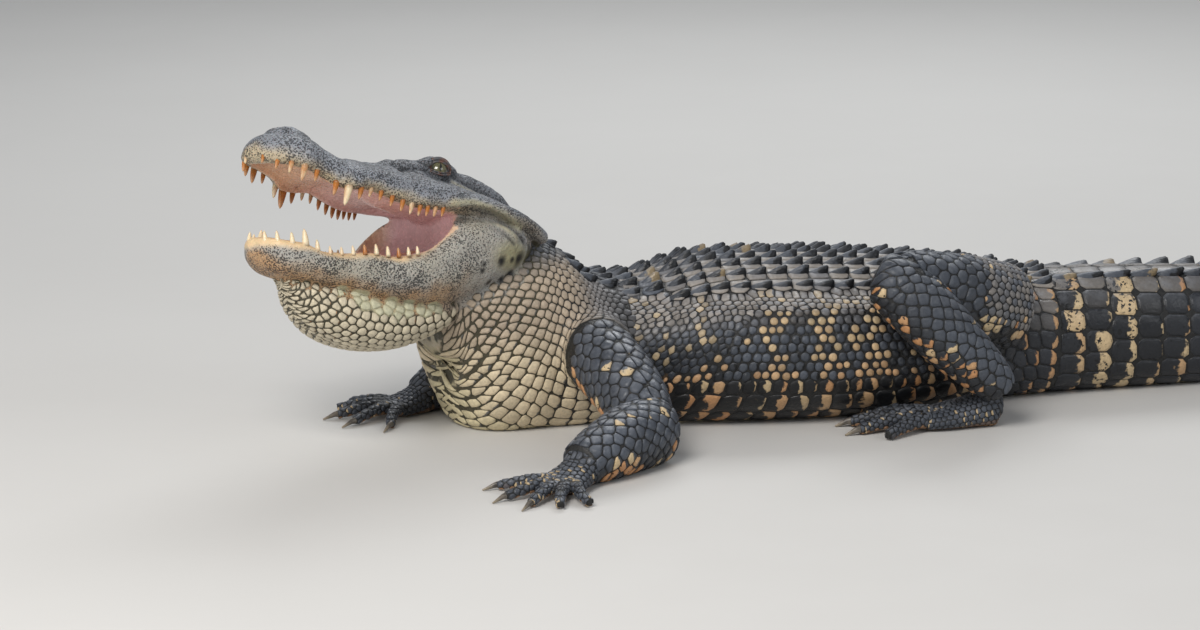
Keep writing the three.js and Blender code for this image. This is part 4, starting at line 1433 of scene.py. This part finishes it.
# Materials
class Nodes:
    def __init__(self, name):
        self.material = bpy.data.materials.new(name)
        self.material.use_nodes = True
        self.tree = self.material.node_tree
        self.tree.nodes.clear()

    def new(self, kind, inputs=None, **settings):
        node = self.tree.nodes.new(kind)
        for key, value in settings.items():
            setattr(node, key, value)
        for key, value in (inputs or {}).items():
            self.feed(node.inputs[key], value)
        return node

    def feed(self, socket, value):
        if isinstance(value, bpy.types.NodeSocket):
            self.tree.links.new(value, socket)
        else:
            socket.default_value = value

    def attribute(self, name):
        return self.new("ShaderNodeAttribute", attribute_name=name)

    def math(self, operation, *values):
        return self.new("ShaderNodeMath", dict(enumerate(values)), operation=operation).outputs[0]

    def plus(self, one, other):
        return self.math("ADD", one, other)

    def minus(self, one, other):
        return self.math("SUBTRACT", one, other)

    def times(self, one, other):
        return self.math("MULTIPLY", one, other)

    def between(self, value, low, high, start=0.0, end=1.0):
        ends = {"Value": value, "From Min": low, "From Max": high, "To Min": start, "To Max": end}
        return self.new("ShaderNodeMapRange", ends, interpolation_type="SMOOTHSTEP").outputs["Result"]

    def noise(self, size, detail=3.0, rough=0.55, distortion=0.0, output="Fac"):
        """Noise in lumps about size metres across."""
        place = self.new("ShaderNodeTexCoord").outputs["Object"]
        node = self.new("ShaderNodeTexNoise", {"Vector": place, "Scale": 0.5 / size, "Detail": detail,
                                               "Roughness": rough, "Distortion": distortion})
        return node.outputs[output]

    def cells(self, size):
        """The distance to the nearest of points about size metres apart."""
        place = self.new("ShaderNodeTexCoord").outputs["Object"]
        return self.new("ShaderNodeTexVoronoi", {"Vector": place, "Scale": 1 / size}).outputs["Distance"]

    def mixed(self, share, one, other, blend="MIX"):
        node = self.new("ShaderNodeMix", data_type="RGBA", blend_type=blend)
        for index, value in ((0, share), (6, one), (7, other)):
            self.feed(node.inputs[index], value)
        return node.outputs[2]

    def parts(self, vector):
        return self.new("ShaderNodeSeparateXYZ", {0: vector}).outputs

    def bump(self, height, distance, strength=1.0, normal=None):
        inputs = {"Height": height, "Distance": distance, "Strength": strength}
        if normal:
            inputs["Normal"] = normal
        return self.new("ShaderNodeBump", inputs).outputs[0]

    def shade(self, base, rough, normal=None, **uniform):
        shader = self.new("ShaderNodeBsdfPrincipled", {"Base Color": base, "Roughness": rough})
        for name, value in uniform.items():
            shader.inputs[name.replace("_", " ")].default_value = value
        if normal:
            self.feed(shader.inputs["Normal"], normal)
        self.new("ShaderNodeOutputMaterial", {"Surface": shader.outputs[0]})
        return self.material


def rgb(name, share=1.0):
    return (*(colour(name) * share), 1.0)


# The second argument sets how strongly faces that point up take the painted sky sheen and dust.
def scale_material(name, dust_and_sheen=0.42, rough=0.38):
    n = Nodes(name)
    tint, blotch = n.attribute("tint").outputs["Color"], n.attribute("blotch").outputs["Color"]
    p, _, rim = n.parts(n.attribute("tile").outputs["Vector"])
    split, spots, _ = n.parts(n.attribute("mark").outputs["Vector"])
    coarse = n.noise(0.006, 4)
    edge = n.plus(p, n.times(n.minus(coarse, 0.5), 2.2))
    share = n.between(n.minus(edge, split), -0.12, 0.12)
    base = n.mixed(share, tint, blotch)
    fine = n.noise(0.0016, 3)
    darker = n.mixed(1.0, base, (0.55, 0.56, 0.58, 1), "MULTIPLY")
    base = n.mixed(n.between(fine, 0.3, 0.7, 0.0, 0.45), base, darker)
    speck = n.noise(0.0028, 2, 0.6)
    limit = n.minus(0.80, n.times(spots, 0.26))
    black = n.between(n.minus(speck, limit), 0.0, 0.04)
    base = n.mixed(black, base, rgb("black"))
    # Painted sheen: faces that point up are lightened towards a bluish grey, a sky reflection painted into
    # the colour, with some dust on the tops.
    facing = n.parts(n.new("ShaderNodeNewGeometry").outputs["Normal"])[2]
    up = n.between(facing, 0.35, 0.95)
    sky_sheen_and_dust = n.times(n.times(up, n.between(n.noise(0.012, 5, 0.65), 0.35, 0.7)), dust_and_sheen)
    base = n.mixed(sky_sheen_and_dust, base, rgb("sky_sheen_and_dust"))
    # Painted shade: each scale and keel is darkened towards its outline and foot, where it dips to the skin
    # between.
    painted_edge_shade = n.between(rim, 0.0, 0.34, 0.45, 1.0)
    edge_shade_grey = n.new("ShaderNodeCombineColor", {0: painted_edge_shade, 1: painted_edge_shade, 2: painted_edge_shade}).outputs[0]
    base = n.mixed(1.0, base, edge_shade_grey, "MULTIPLY")
    rings = n.math("SINE", n.times(n.plus(rim, n.times(coarse, 0.4)), 26.0))
    rough_height = n.plus(n.times(fine, 0.8), n.noise(0.0035, 3))
    height = n.plus(n.times(rings, 0.12), rough_height)
    normal = n.bump(height, 0.0007, 0.8)
    gloss = n.between(n.noise(0.008, 3), 0.3, 0.7, rough - 0.10, rough + 0.12)
    return n.shade(base, gloss, normal, Specular_IOR_Level=0.45)


def skin_material(name):
    n = Nodes(name)
    tint = n.attribute("tint").outputs["Color"]
    wet, speckled, _ = n.parts(n.attribute("mark").outputs["Vector"])
    coarse, fine = n.noise(0.012, 4), n.noise(0.0018, 3)
    darker = n.mixed(1.0, tint, (0.62, 0.60, 0.58, 1), "MULTIPLY")
    base = n.mixed(n.between(coarse, 0.3, 0.7, 0.0, 0.35), tint, darker)
    dense = n.times(speckled, n.between(n.noise(0.014, 3), 0.34, 0.60, 0.36, 0.53))
    small = n.minus(dense, n.cells(0.0021))
    large = n.minus(n.minus(dense, 0.17), n.cells(0.0037))
    dots = n.between(n.math("MAXIMUM", small, large), -0.04, 0.08)
    base = n.mixed(n.times(dots, 0.82), base, rgb("black", 1.8))
    paler = n.mixed(1.0, base, (1.25, 1.22, 1.18, 1), "MULTIPLY")
    base = n.mixed(n.times(n.between(fine, 0.35, 0.7), 0.25), base, paler)
    folds = n.plus(n.noise(0.009, 2, 0.5, 1.5), n.noise(0.0045, 2, 0.5, 0.6))
    height = n.plus(n.times(fine, 0.8), n.times(folds, 0.8))
    pebble = n.times(n.between(n.cells(0.0042), 0.0, 0.6, 1.0, 0.0), speckled)
    height = n.plus(height, n.times(pebble, 0.5))
    normal = n.bump(height, 0.0017, 1.0)
    dry = n.between(fine, 0.3, 0.7, 0.42, 0.58)
    gloss = n.times(dry, n.minus(1.0, n.times(wet, 0.5)))
    return n.shade(base, gloss, normal, Specular_IOR_Level=0.45, Subsurface_Weight=0.04,
                   Subsurface_Scale=0.01)


def flesh_material(name):
    n = Nodes(name)
    base = n.mixed(n.between(n.noise(0.012, 4), 0.3, 0.7), rgb("mouth"), rgb("tan"))
    base = n.mixed(n.between(n.noise(0.003, 2), 0.55, 0.7, 0.0, 0.5), base, rgb("gum"))
    buds = n.between(n.cells(0.0028), 0.0, 0.6, 1.0, 0.0)
    normal = n.bump(n.plus(buds, n.noise(0.006, 3)), 0.0006, 0.8)
    return n.shade(base, n.between(n.noise(0.004, 2), 0.3, 0.7, 0.22, 0.4), normal, Subsurface_Weight=0.12,
                   Subsurface_Scale=0.01)


def tooth_material(name):
    n = Nodes(name)
    share, seed, _ = n.parts(n.attribute("tile").outputs["Vector"])
    stain = n.between(n.plus(seed, n.times(n.noise(0.006, 4), 0.5)), 0.45, 0.75)
    body = n.mixed(stain, rgb("ivory"), rgb("stain"))
    body = n.mixed(n.between(share, 0.45, 0.95), body, n.mixed(0.3, body, rgb("ivory")))
    body = n.mixed(n.between(share, 0.0, 0.3, 0.55, 0.0), body, rgb("root"))
    lines = n.noise(0.0012, 3, 0.6)
    return n.shade(body, n.between(lines, 0.3, 0.7, 0.18, 0.34), n.bump(lines, 0.0002, 0.6),
                   Subsurface_Weight=0.1, Subsurface_Scale=0.004)


def eye_material(name):
    n = Nodes(name)
    p, q, _ = n.parts(n.attribute("gaze").outputs["Vector"])
    radius = n.math("SQRT", n.plus(n.times(p, p), n.times(q, q)))
    streak = n.noise(0.0011, 4, 0.6, 2.0)
    iris = n.mixed(n.between(streak, 0.3, 0.7), rgb("iris"), rgb("iris_light"))
    iris = n.mixed(n.between(radius, 0.50, 0.68), iris, rgb("iris", 0.35))
    iris = n.mixed(n.between(radius, 0.70, 0.78), iris, rgb("lid", 0.4))
    taper = n.minus(1.0, n.times(n.times(q, q), 4.6))
    width = n.times(n.math("MAXIMUM", taper, 0.0), 0.10)
    slit = n.between(n.minus(n.math("ABSOLUTE", p), width), 0.02, -0.015)
    base = n.mixed(slit, iris, (0.004, 0.004, 0.004, 1))
    return n.shade(base, 0.04, n.bump(streak, 0.0001, 0.3), Coat_Weight=1.0, Coat_Roughness=0.02)


def lid_material(name):
    n = Nodes(name)
    base = n.mixed(n.between(n.noise(0.004, 4), 0.35, 0.65), rgb("lid"), rgb("head_dark"))
    grain = n.noise(0.0012, 3)
    normal = n.bump(n.plus(grain, n.noise(0.004, 2)), 0.0006, 0.8)
    return n.shade(base, n.between(grain, 0.3, 0.7, 0.3, 0.5), normal)


def horn_material(name):
    n = Nodes(name)
    share = n.parts(n.attribute("tile").outputs["Vector"])[0]
    streak = n.noise(0.003, 4, 0.6, 1.0)
    base = n.mixed(n.between(streak, 0.3, 0.7), rgb("horn"), rgb("horn_dark"))
    base = n.mixed(n.between(share, 0.5, 1.0, 0.0, 0.6), base, rgb("ivory", 0.5))
    return n.shade(base, n.between(streak, 0.3, 0.7, 0.25, 0.45), n.bump(streak, 0.0003, 0.6))


def floor_material(name):
    n = Nodes(name)
    base = n.mixed(n.noise(0.3, 3), (0.60, 0.59, 0.57, 1), (0.64, 0.63, 0.61, 1))
    return n.shade(base, n.between(n.noise(0.05, 3), 0.3, 0.7, 0.75, 0.85))


MATERIALS = {
    "hide": skin_material("alligator_skin"),
    "scales": scale_material("alligator_scales"),
    "pale_scales": scale_material("alligator_pale_scales", 0.1, 0.46),
    "flesh": flesh_material("tongue_flesh"),
    "tooth": tooth_material("stained_tooth"),
    "eye": eye_material("eye"),
    "lid": lid_material("eyelid"),
    "horn": horn_material("claw_horn"),
    "floor": floor_material("studio_floor"),
}

# Build: the skin
skin_object = raw_skin()
mesh = skin_object.data
points = coordinates(mesh)
edges = edges_of(mesh)
BROW_FRONT = (-142, 38, 58)
brow_fronts = [(HEAD.out(np.array(mirrored([BROW_FRONT], -side)[0]) * MM) / MM, 26, 10) for side in (-1, 1)]
for middle, radius, rounds in CREASES + brow_fronts:
    weight = near(points, middle, radius) * 0.6
    picked = weight > 0
    touching = picked[edges].any(1)
    points = relax(points, edges[touching], weight, rounds)
mesh.vertices.foreach_set("co", points.astype(np.float32).ravel())
mesh.update()
head_points = HEAD.into(points)
around_head = np.linalg.norm(head_points - np.array([-0.12, 0, 0.0]), axis=1) < 0.27
sculpted = sculpt(points[around_head], normals_of(mesh)[around_head])
points[around_head] = sculpted
points[:, 2] = np.maximum(points[:, 2], 0)
mesh.vertices.foreach_set("co", points.astype(np.float32).ravel())
mesh.update()
group = skin_object.vertex_groups.new(name="coarser")
face = np.linalg.norm(head_points - np.array([-0.14, 0, 0.03]), axis=1) < 0.22
group.add(np.flatnonzero(~face).tolist(), 1.0, "REPLACE")
group.add(np.flatnonzero(face).tolist(), 0.25, "REPLACE")
triangle_count = len(mesh.polygons) * 2
if triangle_count > SKIN_TRIANGLES:
    modifier = skin_object.modifiers.new("fewer", "DECIMATE")
    modifier.ratio = SKIN_TRIANGLES / triangle_count
    modifier.vertex_group = "coarser"
    modifier.vertex_group_factor = 1.0
    finished(skin_object)
mesh = skin_object.data
mesh.name = "skin"
mesh.shade_smooth()
mesh.calc_loop_triangles()
print("skin triangles", len(mesh.loop_triangles), "from", triangle_count)
skin = Skin(mesh)

# Build: the scales
wraps = {}


def wrap_of(name, place):
    wraps[name] = Wrap(lofts[name], place)
    return wraps[name]


trunk = wrap_of("trunk", (0.02, 0.70, 0.30, 0.28))
neck = wrap_of("neck", (0.34, 0.70, 0.16, 0.28))
tail = wrap_of("tail", (0.02, 0.46, 0.60, 0.20))
pouch = wrap_of("pouch", (0.52, 0.70, 0.14, 0.28))

ARMOUR_PITCH = 0.0245
ARMOUR_COLUMNS = np.array([0.034, 0.101, 0.168, 0.235])
TRUNK_GIRTH = 0.41  # half of it
HIP = 0.435  # where the flank gives way to the tail's first whorls
WHORL_PITCH = 0.0165


def plates(places, columns, kind="armour"):
    found = []
    for s, chosen in zip(places, columns):
        for side in (-1, 1):
            count = len(chosen)
            shift = rng.uniform(-1, 1, (2, count))
            found.append((s + 0.0006 * shift[0], side * (np.array(chosen) + 0.002 * shift[1]),
                          np.full(count, 0.029), named(kind, count)))
    return found


def evenly(size, growth=0.0):
    """The size of scales that grow evenly along a part."""
    return lambda s, v: size + growth * s


def wrinkled(s):
    """The wrinkled band is wider over the shoulder."""
    return 0.268 - 0.067 * (1 - smooth(0.030, 0.045, s)), 0.345 + 0.19 * (1 - smooth(0.05, 0.15, s))


def flank_roots():
    found = graded((0.0, HIP), (0.345, 0.548), evenly(0.0108), "flank", TRUNK_GIRTH, 1.0, 0.14, 0.4)
    chosen = []
    for s, v, size, kind in found:
        keep = np.abs(v) > wrinkled(s)[1]
        s, v, size, kind = s[keep], v[keep], size[keep], kind[keep]
        x = s - 0.18
        pale = bands(x + 0.004 * np.sin(v * 40), FLANK_BANDS, 0.0185)
        edge_row = np.abs(v) > 0.52
        kind[rng.random(len(s)) < 0.05 + 0.75 * np.maximum(pale, 0.7 * edge_row)] = "flank_pale"
        chosen.append((s, v, size, kind))
    return chosen


armour_rows = 0.004 + np.arange(21) * ARMOUR_PITCH
armour = plates(armour_rows, [ARMOUR_COLUMNS[:3] if i < 2 or i > 17 else ARMOUR_COLUMNS for i in range(21)])
hip_places = np.arange(HIP + 0.008, 0.505, WHORL_PITCH)
trunk_roots = gathered(
    armour,
    slanted((0, HIP), wrinkled, 0.0155, 0.0054, 40, "wrinkle", TRUNK_GIRTH),
    flank_roots(),
    graded((0.004, HIP), (0.548, 0.593), evenly(0.0175), "square", TRUNK_GIRTH, 1.0, 0.08),
    graded((0.006, HIP), (0.593, 0.77), evenly(0.0345), "square", TRUNK_GIRTH, 0.74, 0.05),
    across_rows(np.arange(0.01, HIP, 0.026), 0.028, (0.77, 1.0), "belly", 0.026, trunk.girth, 0.03, False),
    across_rows(hip_places, 0.021, (0.205, 1.0), "whorl", WHORL_PITCH, trunk.girth, 0.06, False),
)
back = Coat("trunk_scales", "hide")
fins = Coat("back_keels", "hide")
centres = lay(back, skin, trunk, trunk_roots, paint_trunk)


def keels(wrap, group, length, width, height):
    s, v = gathered(group)[:2]
    count = len(s)
    raise_fins(fins, skin, wrap, s, v, length * (0.95 + 0.1 * rng.random(count)), np.full(count, width),
               height * (0.82 + 0.3 * rng.random(count)) * (1 - 0.2 * (np.abs(v) > 0.2)), paint_fin, 0.2)


keels(trunk, armour, 0.0255, 0.0130, 0.0112)
nuchal = plates((0.128, 0.152, 0.178, 0.216), ((0.05,), (0.05, 0.13), (0.05, 0.13), (0.04, 0.11)))
keels(neck, nuchal, 0.025, 0.0125, 0.0100)
neck_girth = float(neck.girth(0.12))


def neck_size(s, v):
    return 0.0095 + 0.0145 * smooth(0.3, 0.95, np.abs(v)) * smooth(-0.02, 0.12, s)


def clear_of(found, others, distance, girth):
    """The roots that are further than a distance from the other ones."""
    chosen = []
    other = np.concatenate([np.stack([s, v * girth], -1) for s, v, _, _ in others])
    for s, v, size, kind in found:
        away = np.linalg.norm(np.stack([s, v * girth], -1)[:, None] - other[None], axis=2).min(1)
        keep = away > distance
        chosen.append((s[keep], v[keep], size[keep], kind[keep]))
    return chosen


neck_roots = gathered(
    nuchal,
    clear_of(graded((0, 0.26), (0.0, 0.22), neck_size, "neck", neck_girth), nuchal, 0.0165, neck_girth),
    graded((0, 0.27), (0.22, 1.0), neck_size, "neck", neck_girth, 1.05, 0.12),
)
neck_coat = Coat("neck_scales", "throat_hide")
neck_centres = lay(neck_coat, skin, neck, neck_roots, paint_neck, centres)
POUCH_GIRTH = float(pouch.girth(0.12))


def pleated(s):
    """The stretched skin under the jaw's edge, in long level folds."""
    return 0.22 + 0 * s, 0.35 + 0.15 * smooth(0.05, 0.10, s)


pouch_scales = []
for s, v, size, kind in graded((0, 0.30), (0.0, 1.0), evenly(0.0088, 0.012), "throat", POUCH_GIRTH, 1.12):
    keep = np.abs(v) > np.where((s > 0.055) & (s < 0.235), pleated(s)[1], 0)
    pouch_scales.append((s[keep], v[keep], size[keep], kind[keep]))
pouch_roots = gathered(pouch_scales, slanted((0.055, 0.235), pleated, 0.027, 0.0047, 4, "pleat", POUCH_GIRTH))
pouch_coat = Coat("throat_scales", "throat_hide")
lay(pouch_coat, skin, pouch, pouch_roots, paint_pouch, neck_centres)

whorl = tail.length / TAIL_WHORLS
middles = (np.arange(TAIL_WHORLS) + 0.5) * whorl
tail_coat = Coat("tail_scales", "hide")
tail_roots = gathered(across_rows(middles, 0.027, (0.0, 1.0), "whorl", whorl, tail.girth, 0.015, False))
tail_centres = lay(tail_coat, skin, tail, tail_roots, paint_tail, centres)
tail_fins = Coat("tail_crest", "hide")
double = middles[:TAIL_DOUBLE_CREST]
offset = (24 * (1 - np.arange(TAIL_DOUBLE_CREST) / TAIL_DOUBLE_CREST) + 5) * MM
tall = crest_height(double / tail.length) * (0.5 + 0.35 * double / tail.length)
for side in (-1, 1):
    raise_fins(tail_fins, skin, tail, double, side * offset / tail.girth(double),
               np.full(len(double), whorl * 1.08), np.full(len(double), 0.0160), tall, paint_fin, 0.25,
               side * 0.35)
single = middles[TAIL_DOUBLE_CREST:]
tapering = smooth(0.82, 1.0, single / tail.length)
raise_fins(tail_fins, skin, tail, single, single * 0, np.full(len(single), whorl),
           np.full(len(single), 0.0085) * (1 - 0.5 * tapering),
           crest_height(single / tail.length) * 0.9 * (1 - 0.7 * tapering), paint_fin, 0.25)

body_centres = np.vstack([centres, neck_centres, tail_centres])
# Orange below and cream spots on each length of the legs
LIMB_PAINTS = {"foreleg_upper": (0.5, 0.02), "foreleg_lower": (0.4, 0.07), "hindleg_upper": (0.6, 0.03),
               "hindleg_lower": (0.4, 0.05)}
ROUND = (0.0, 1.0)  # from the middle of the top to the middle below
THIGH_TOP = 0.09


def laid_after(coat, wrap, found, paint, taken):
    """Lays scales where none is yet, and returns the middles of all so far."""
    laid = lay(coat, skin, wrap, gathered(found), paint, taken)
    return np.vstack([taken, laid]) if len(laid) else taken


def limb_roots(wrap, part, thigh):
    """Roots in rows down a length of a leg. The thigh has finer scales at its top instead, and the
    plain rows are drawn for it too, so that later random draws stay the same."""
    pitch = 0.0115 if part == "upper" else 0.0098
    rows = np.arange(0.004, wrap.length, pitch)
    plain = across_rows(rows, 0.0172, ROUND, "limb", pitch, wrap.girth, 0.10)
    if not thigh:
        return plain
    rows = np.arange(THIGH_TOP, wrap.length, 0.014)
    girth = float(wrap.girth(0.05))
    found = across_rows(rows, 0.0165, ROUND, "limb", 0.014, wrap.girth, 0.10)
    found += graded((0.0, THIGH_TOP), (0.0, 0.62), evenly(0.0062, 0.05), "thigh", girth, 1.3)
    return found + graded((0.0, THIGH_TOP), (0.62, 1.0), evenly(0.015), "limb", girth)


leg_coats = []
place_x = 0.02
for leg, (upper, lower, kind_of_foot, root) in LEGS.items():
    coat = Coat(leg + "_scales", "hide")
    taken = body_centres
    for part in ("upper", "lower"):
        wrap = wrap_of(f"{leg}_{part}", (place_x, 0.24, 0.10, 0.18))
        place_x += 0.11
        key = leg.split("_")[1] + "_" + part
        found = limb_roots(wrap, part, key == "hindleg_upper")
        taken = laid_after(coat, wrap, found, paint_limb(*LIMB_PAINTS[key]), taken)
    wrap = wrap_of(leg + "_palm", (place_x - 0.22, 0.14, 0.10, 0.08))
    found = graded((0, wrap.length), ROUND, evenly(0.0068), "toe", float(wrap.girth(wrap.length * 0.5)))
    taken = laid_after(coat, wrap, found, paint_foot, taken)
    for i in range(len(kind_of_foot["digits"])):
        wrap = wrap_of(f"{leg}_digit_{i}", (place_x - 0.22 + i * 0.02, 0.04, 0.018, 0.08))
        rows = np.arange(0.003, wrap.length, 0.0058)
        found = across_rows(rows, 0.0078, ROUND, "toe", 0.0058, wrap.girth)
        taken = laid_after(coat, wrap, found, paint_foot, taken)
    leg_coats.append(coat)

for coat, material in ((back, "scales"), (fins, "scales"), (neck_coat, "pale_scales"),
                       (pouch_coat, "pale_scales"), (tail_coat, "scales"), (tail_fins, "scales")):
    coat.finish(MATERIALS[material])
for coat in leg_coats:
    coat.finish(MATERIALS["scales"])

# Skin's colours
tint, marks = skin_colours(skin.points, skin.normals, tree_of(np.vstack(skin.centres)),
                           (np.vstack(skin.gaps), np.vstack(skin.tints), np.concatenate(skin.reaches)))
add_colours(mesh, "tint", tint)
add_vectors(mesh, "mark", marks)
mesh.materials.clear()
mesh.materials.append(MATERIALS["hide"])
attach(skin_object, "root")
flesh_nodes = ["head", "jaw", "throat", "neck", "trunk"] + [f"tail_{i}" for i in range(1, 6)]
for leg in LEGS:
    flesh_nodes += [f"{leg}_{part}" for part in LEG_NODES[leg.split("_")[1]]]
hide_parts(*flesh_nodes)


# Build: teeth, tongue, eyes, lids and claws
def tube(middles, radii, sides, flat=1.0, side=None):
    """A closed tube with its own radius at each middle, as points, quads and triangles."""
    middles = np.asarray(middles, float)
    ahead = unit(np.gradient(middles, axis=0))
    hint = np.array([0, 0, 1.0]) if side is None else np.asarray(side, float)
    aside = unit(np.cross(hint, ahead))
    above = np.cross(ahead, aside)
    turn = circle(sides)
    ring = np.sin(turn)[None, :, None] * aside[:, None] + np.cos(turn)[None, :, None] * above[:, None] * flat
    points = (middles[:, None] + ring * np.asarray(radii)[:, None, None]).reshape(-1, 3)
    count = len(middles)
    points = np.vstack([points, middles[0], middles[-1]])
    return points, ring_faces(count, sides), cap_faces(count, sides)


def teeth(name, table, rows_of, inset, pose, direction, sink, stain):
    parts, shares = [], []
    for side in (-1, 1):
        for along, length in table:
            station = [np.interp(along, [r[0] for r in rows_of], [r[k] for r in rows_of]) for k in (1, 2, 3)]
            edge = station[2] if direction < 0 else station[1]
            length = length * rng.uniform(0.9, 1.1)
            root = np.array([-along, side * (station[0] - inset), edge - direction * sink])
            steps = np.linspace(0, 1, 9)
            total = length + sink
            wide = 1.6 + 0.19 * length
            curve = np.stack([-0.03 * total * steps**2, -side * 0.10 * total * steps**2,
                              direction * total * steps], 1)
            lean = np.array([0.0, side * 0.06 * direction * -1 * total, 0.0])
            middles = root + curve + lean * steps[:, None]
            radii = wide * np.sqrt(np.maximum(1 - steps**2.2, 0)) * (1 - 0.25 * steps) + 0.12
            points, quads, fans = tube(pose.out(middles * MM), radii * MM, 12, side=(0, 1, 0))
            parts.append((points, quads, fans))
            share = np.concatenate([np.repeat(steps, 12), [0, 1]])
            seed = stain(along) + 0.5 * rng.random()
            shares.append(np.stack([share, np.full_like(share, seed), share * 0], 1))
    made = piece(name, build_mesh(name, *joined(parts)), MATERIALS["tooth"])
    add_vectors(made.data, "tile", np.vstack(shares))
    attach(made, "root")
    return made


teeth("upper_teeth", UPPER_TEETH, MUZZLE, 7, HEAD, -1, 7, lambda along: 0.27)
teeth("lower_teeth", LOWER_TEETH, MANDIBLE, 7, JAW, 1, 7, lambda along: -0.2 if along > 235 else 0.0)

tongue_loft = Loft(upright(TONGUE, 0.5), 2.6, 2.4, FORWARD, JAW)
points, quads, fans = tongue_loft.closed(70, 56)
inside = JAW.into(points)
groove_line = np.exp(-((inside[:, 1] / 0.006) ** 2)) * (inside[:, 2] > -0.022)
points = points + JAW.turn[:, 2] * (lumps(points, 0.012, 41) * 0.0012 - groove_line * 0.0018)[:, None]
tongue = piece("tongue_flesh", build_mesh("tongue_flesh", points, quads, fans), MATERIALS["flesh"])
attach(tongue, "root")
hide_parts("tongue")

for side, name in ((-1, "left"), (1, "right")):
    middle, out, ahead, up = gaze(side)
    rings, sides = 32, 48
    turn = np.linspace(0, math.pi, rings)[:, None]
    around = circle(sides)[None, :]
    direction = (np.cos(turn)[..., None] * out + (np.sin(turn) * np.cos(around))[..., None] * ahead
                 + (np.sin(turn) * np.sin(around))[..., None] * np.cross(out, ahead))
    cornea = 1 + 0.05 * np.exp(-((turn / 0.5) ** 2))
    ring = direction * (EYE_RADIUS - 0.5) * MM * cornea[..., None]
    inner = ring[1:-1].reshape(-1, 3)
    points = np.vstack([inner, ring[0, :1], ring[-1, :1]])
    ball_mesh = build_mesh(f"eyeball_{name}", HEAD.out(points + middle), ring_faces(rings - 2, sides),
                           cap_faces(rings - 2, sides))
    eye = piece(f"eyeball_{name}", ball_mesh, MATERIALS["eye"])
    look = points / (EYE_RADIUS * MM)
    add_vectors(eye.data, "gaze", np.stack([look @ ahead, look @ up, look @ out], 1))
    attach(eye, "root")
    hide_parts(f"eye_{name}")
    lid_parts = []
    turn = np.linspace(0, 2 * math.pi, 73)
    for reach, spread, low_radius, high_radius in ((12.9, 1.0, 0.7, 1.3), (14.4, 1.08, 0.9, 2.5)):
        p = LID_HALF * spread * np.cos(turn)
        q = np.where(np.sin(turn) > 0, LID_HIGH + 2.8 * (spread > 1), LID_LOW + 1.6 * (spread > 1))
        q = q * np.sign(np.sin(turn)) * np.abs(np.sin(turn)) ** 1.3
        p, q = (np.clip(x / EYE_RADIUS, -0.97, 0.97) for x in (p, q))
        depth = np.sqrt(np.maximum(1 - p**2 - q**2, 0.01))
        line = (depth[:, None] * out + p[:, None] * ahead + q[:, None] * up) * reach
        line = HEAD.out(line * MM + middle)
        swollen = low_radius + (high_radius - low_radius) * np.abs(np.sin(turn))
        radii = np.where(np.sin(turn) > 0, swollen, low_radius)
        lid_parts.append(tube(line, radii * MM, 10, side=HEAD.turn @ out))
    lids = piece(f"lids_{name}", build_mesh(f"lids_{name}", *joined(lid_parts)), MATERIALS["lid"])
    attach(lids, "root")

for leg, (upper, lower, kind_of_foot, root) in LEGS.items():
    for i in range(kind_of_foot["claws"]):
        loft = Loft(claw_stations(root, kind_of_foot, kind_of_foot["digits"][i]), 2.0, 2.0, floor=0.0)
        points, quads, fans = loft.closed(24, 16)
        name = f"{leg}_horn_{i + 1}"
        claw = piece(name, build_mesh(name, points, quads, fans), MATERIALS["horn"])
        share = np.concatenate([np.repeat(np.linspace(0, 1, 24), 16), [0, 1]])
        add_vectors(claw.data, "tile", np.stack([share, share * 0, share * 0], 1))
        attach(claw, "root")
        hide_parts(f"{leg}_claw_{i + 1}")

# Stage, light and camera
FLOOR_GAP = 0.0004
corners = np.array([[-7, -6, 0], [7, -6, 0], [7, 8, 0], [-7, 8, 0]]) - [0, 0, FLOOR_GAP]
floor = piece("floor", build_mesh("floor", corners, np.array([[0, 1, 2, 3]])), MATERIALS["floor"])


def area_light(name, place, target, size, power, tone=(1, 1, 1)):
    light = bpy.data.lights.new(name, "AREA")
    light.shape, light.size, light.size_y = "RECTANGLE", size[0], size[1]
    light.energy, light.color = power, tone
    lamp = bpy.data.objects.new(name, light)
    bpy.context.scene.collection.objects.link(lamp)
    lamp.location = place
    aim = np.array(target) - np.array(place)
    lamp.rotation_euler = Vector(aim).to_track_quat("-Z", "Y").to_euler()
    return lamp


area_light("key", (-1.6, -2.2, 2.6), (0.0, 0, 0.1), (1.5, 1.5), 84, (1.0, 0.97, 0.93))
area_light("fill", (2.4, -2.4, 1.8), (0.3, 0, 0.1), (2.4, 1.6), 22, (0.96, 0.98, 1.0))
area_light("rim", (0.8, 2.4, 2.4), (0.2, 0, 0.1), (2.4, 1.2), 46, (0.97, 0.99, 1.0))
area_light("bounce", (-2.3, -1.2, 0.5), (-0.5, -0.1, 0.2), (1.6, 0.8), 14, (1.0, 0.96, 0.92))
world = bpy.data.worlds.new("studio")
bpy.context.scene.world = world
world.use_nodes = True
world.node_tree.nodes["Background"].inputs["Color"].default_value = (0.80, 0.83, 0.88, 1)
world.node_tree.nodes["Background"].inputs["Strength"].default_value = 0.36
bpy.context.scene.view_settings.view_transform = "Standard"

camera_data = bpy.data.cameras.new("camera")
camera_data.sensor_width = 36
camera_data.lens = 118.8
camera = bpy.data.objects.new("camera", camera_data)
bpy.context.scene.collection.objects.link(camera)
TARGET, DISTANCE = (-0.194, 0, 0.109), 4.5
back_direction = np.array([-0.20258, -0.95308, 0.22495])
# The target lies on the picture's middle line, and its middle is at 600 of 1200 pixels across
camera.location = np.array(TARGET) + back_direction * DISTANCE
camera.rotation_euler = Vector(back_direction).to_track_quat("Z", "Y").to_euler()
bpy.context.scene.camera = camera
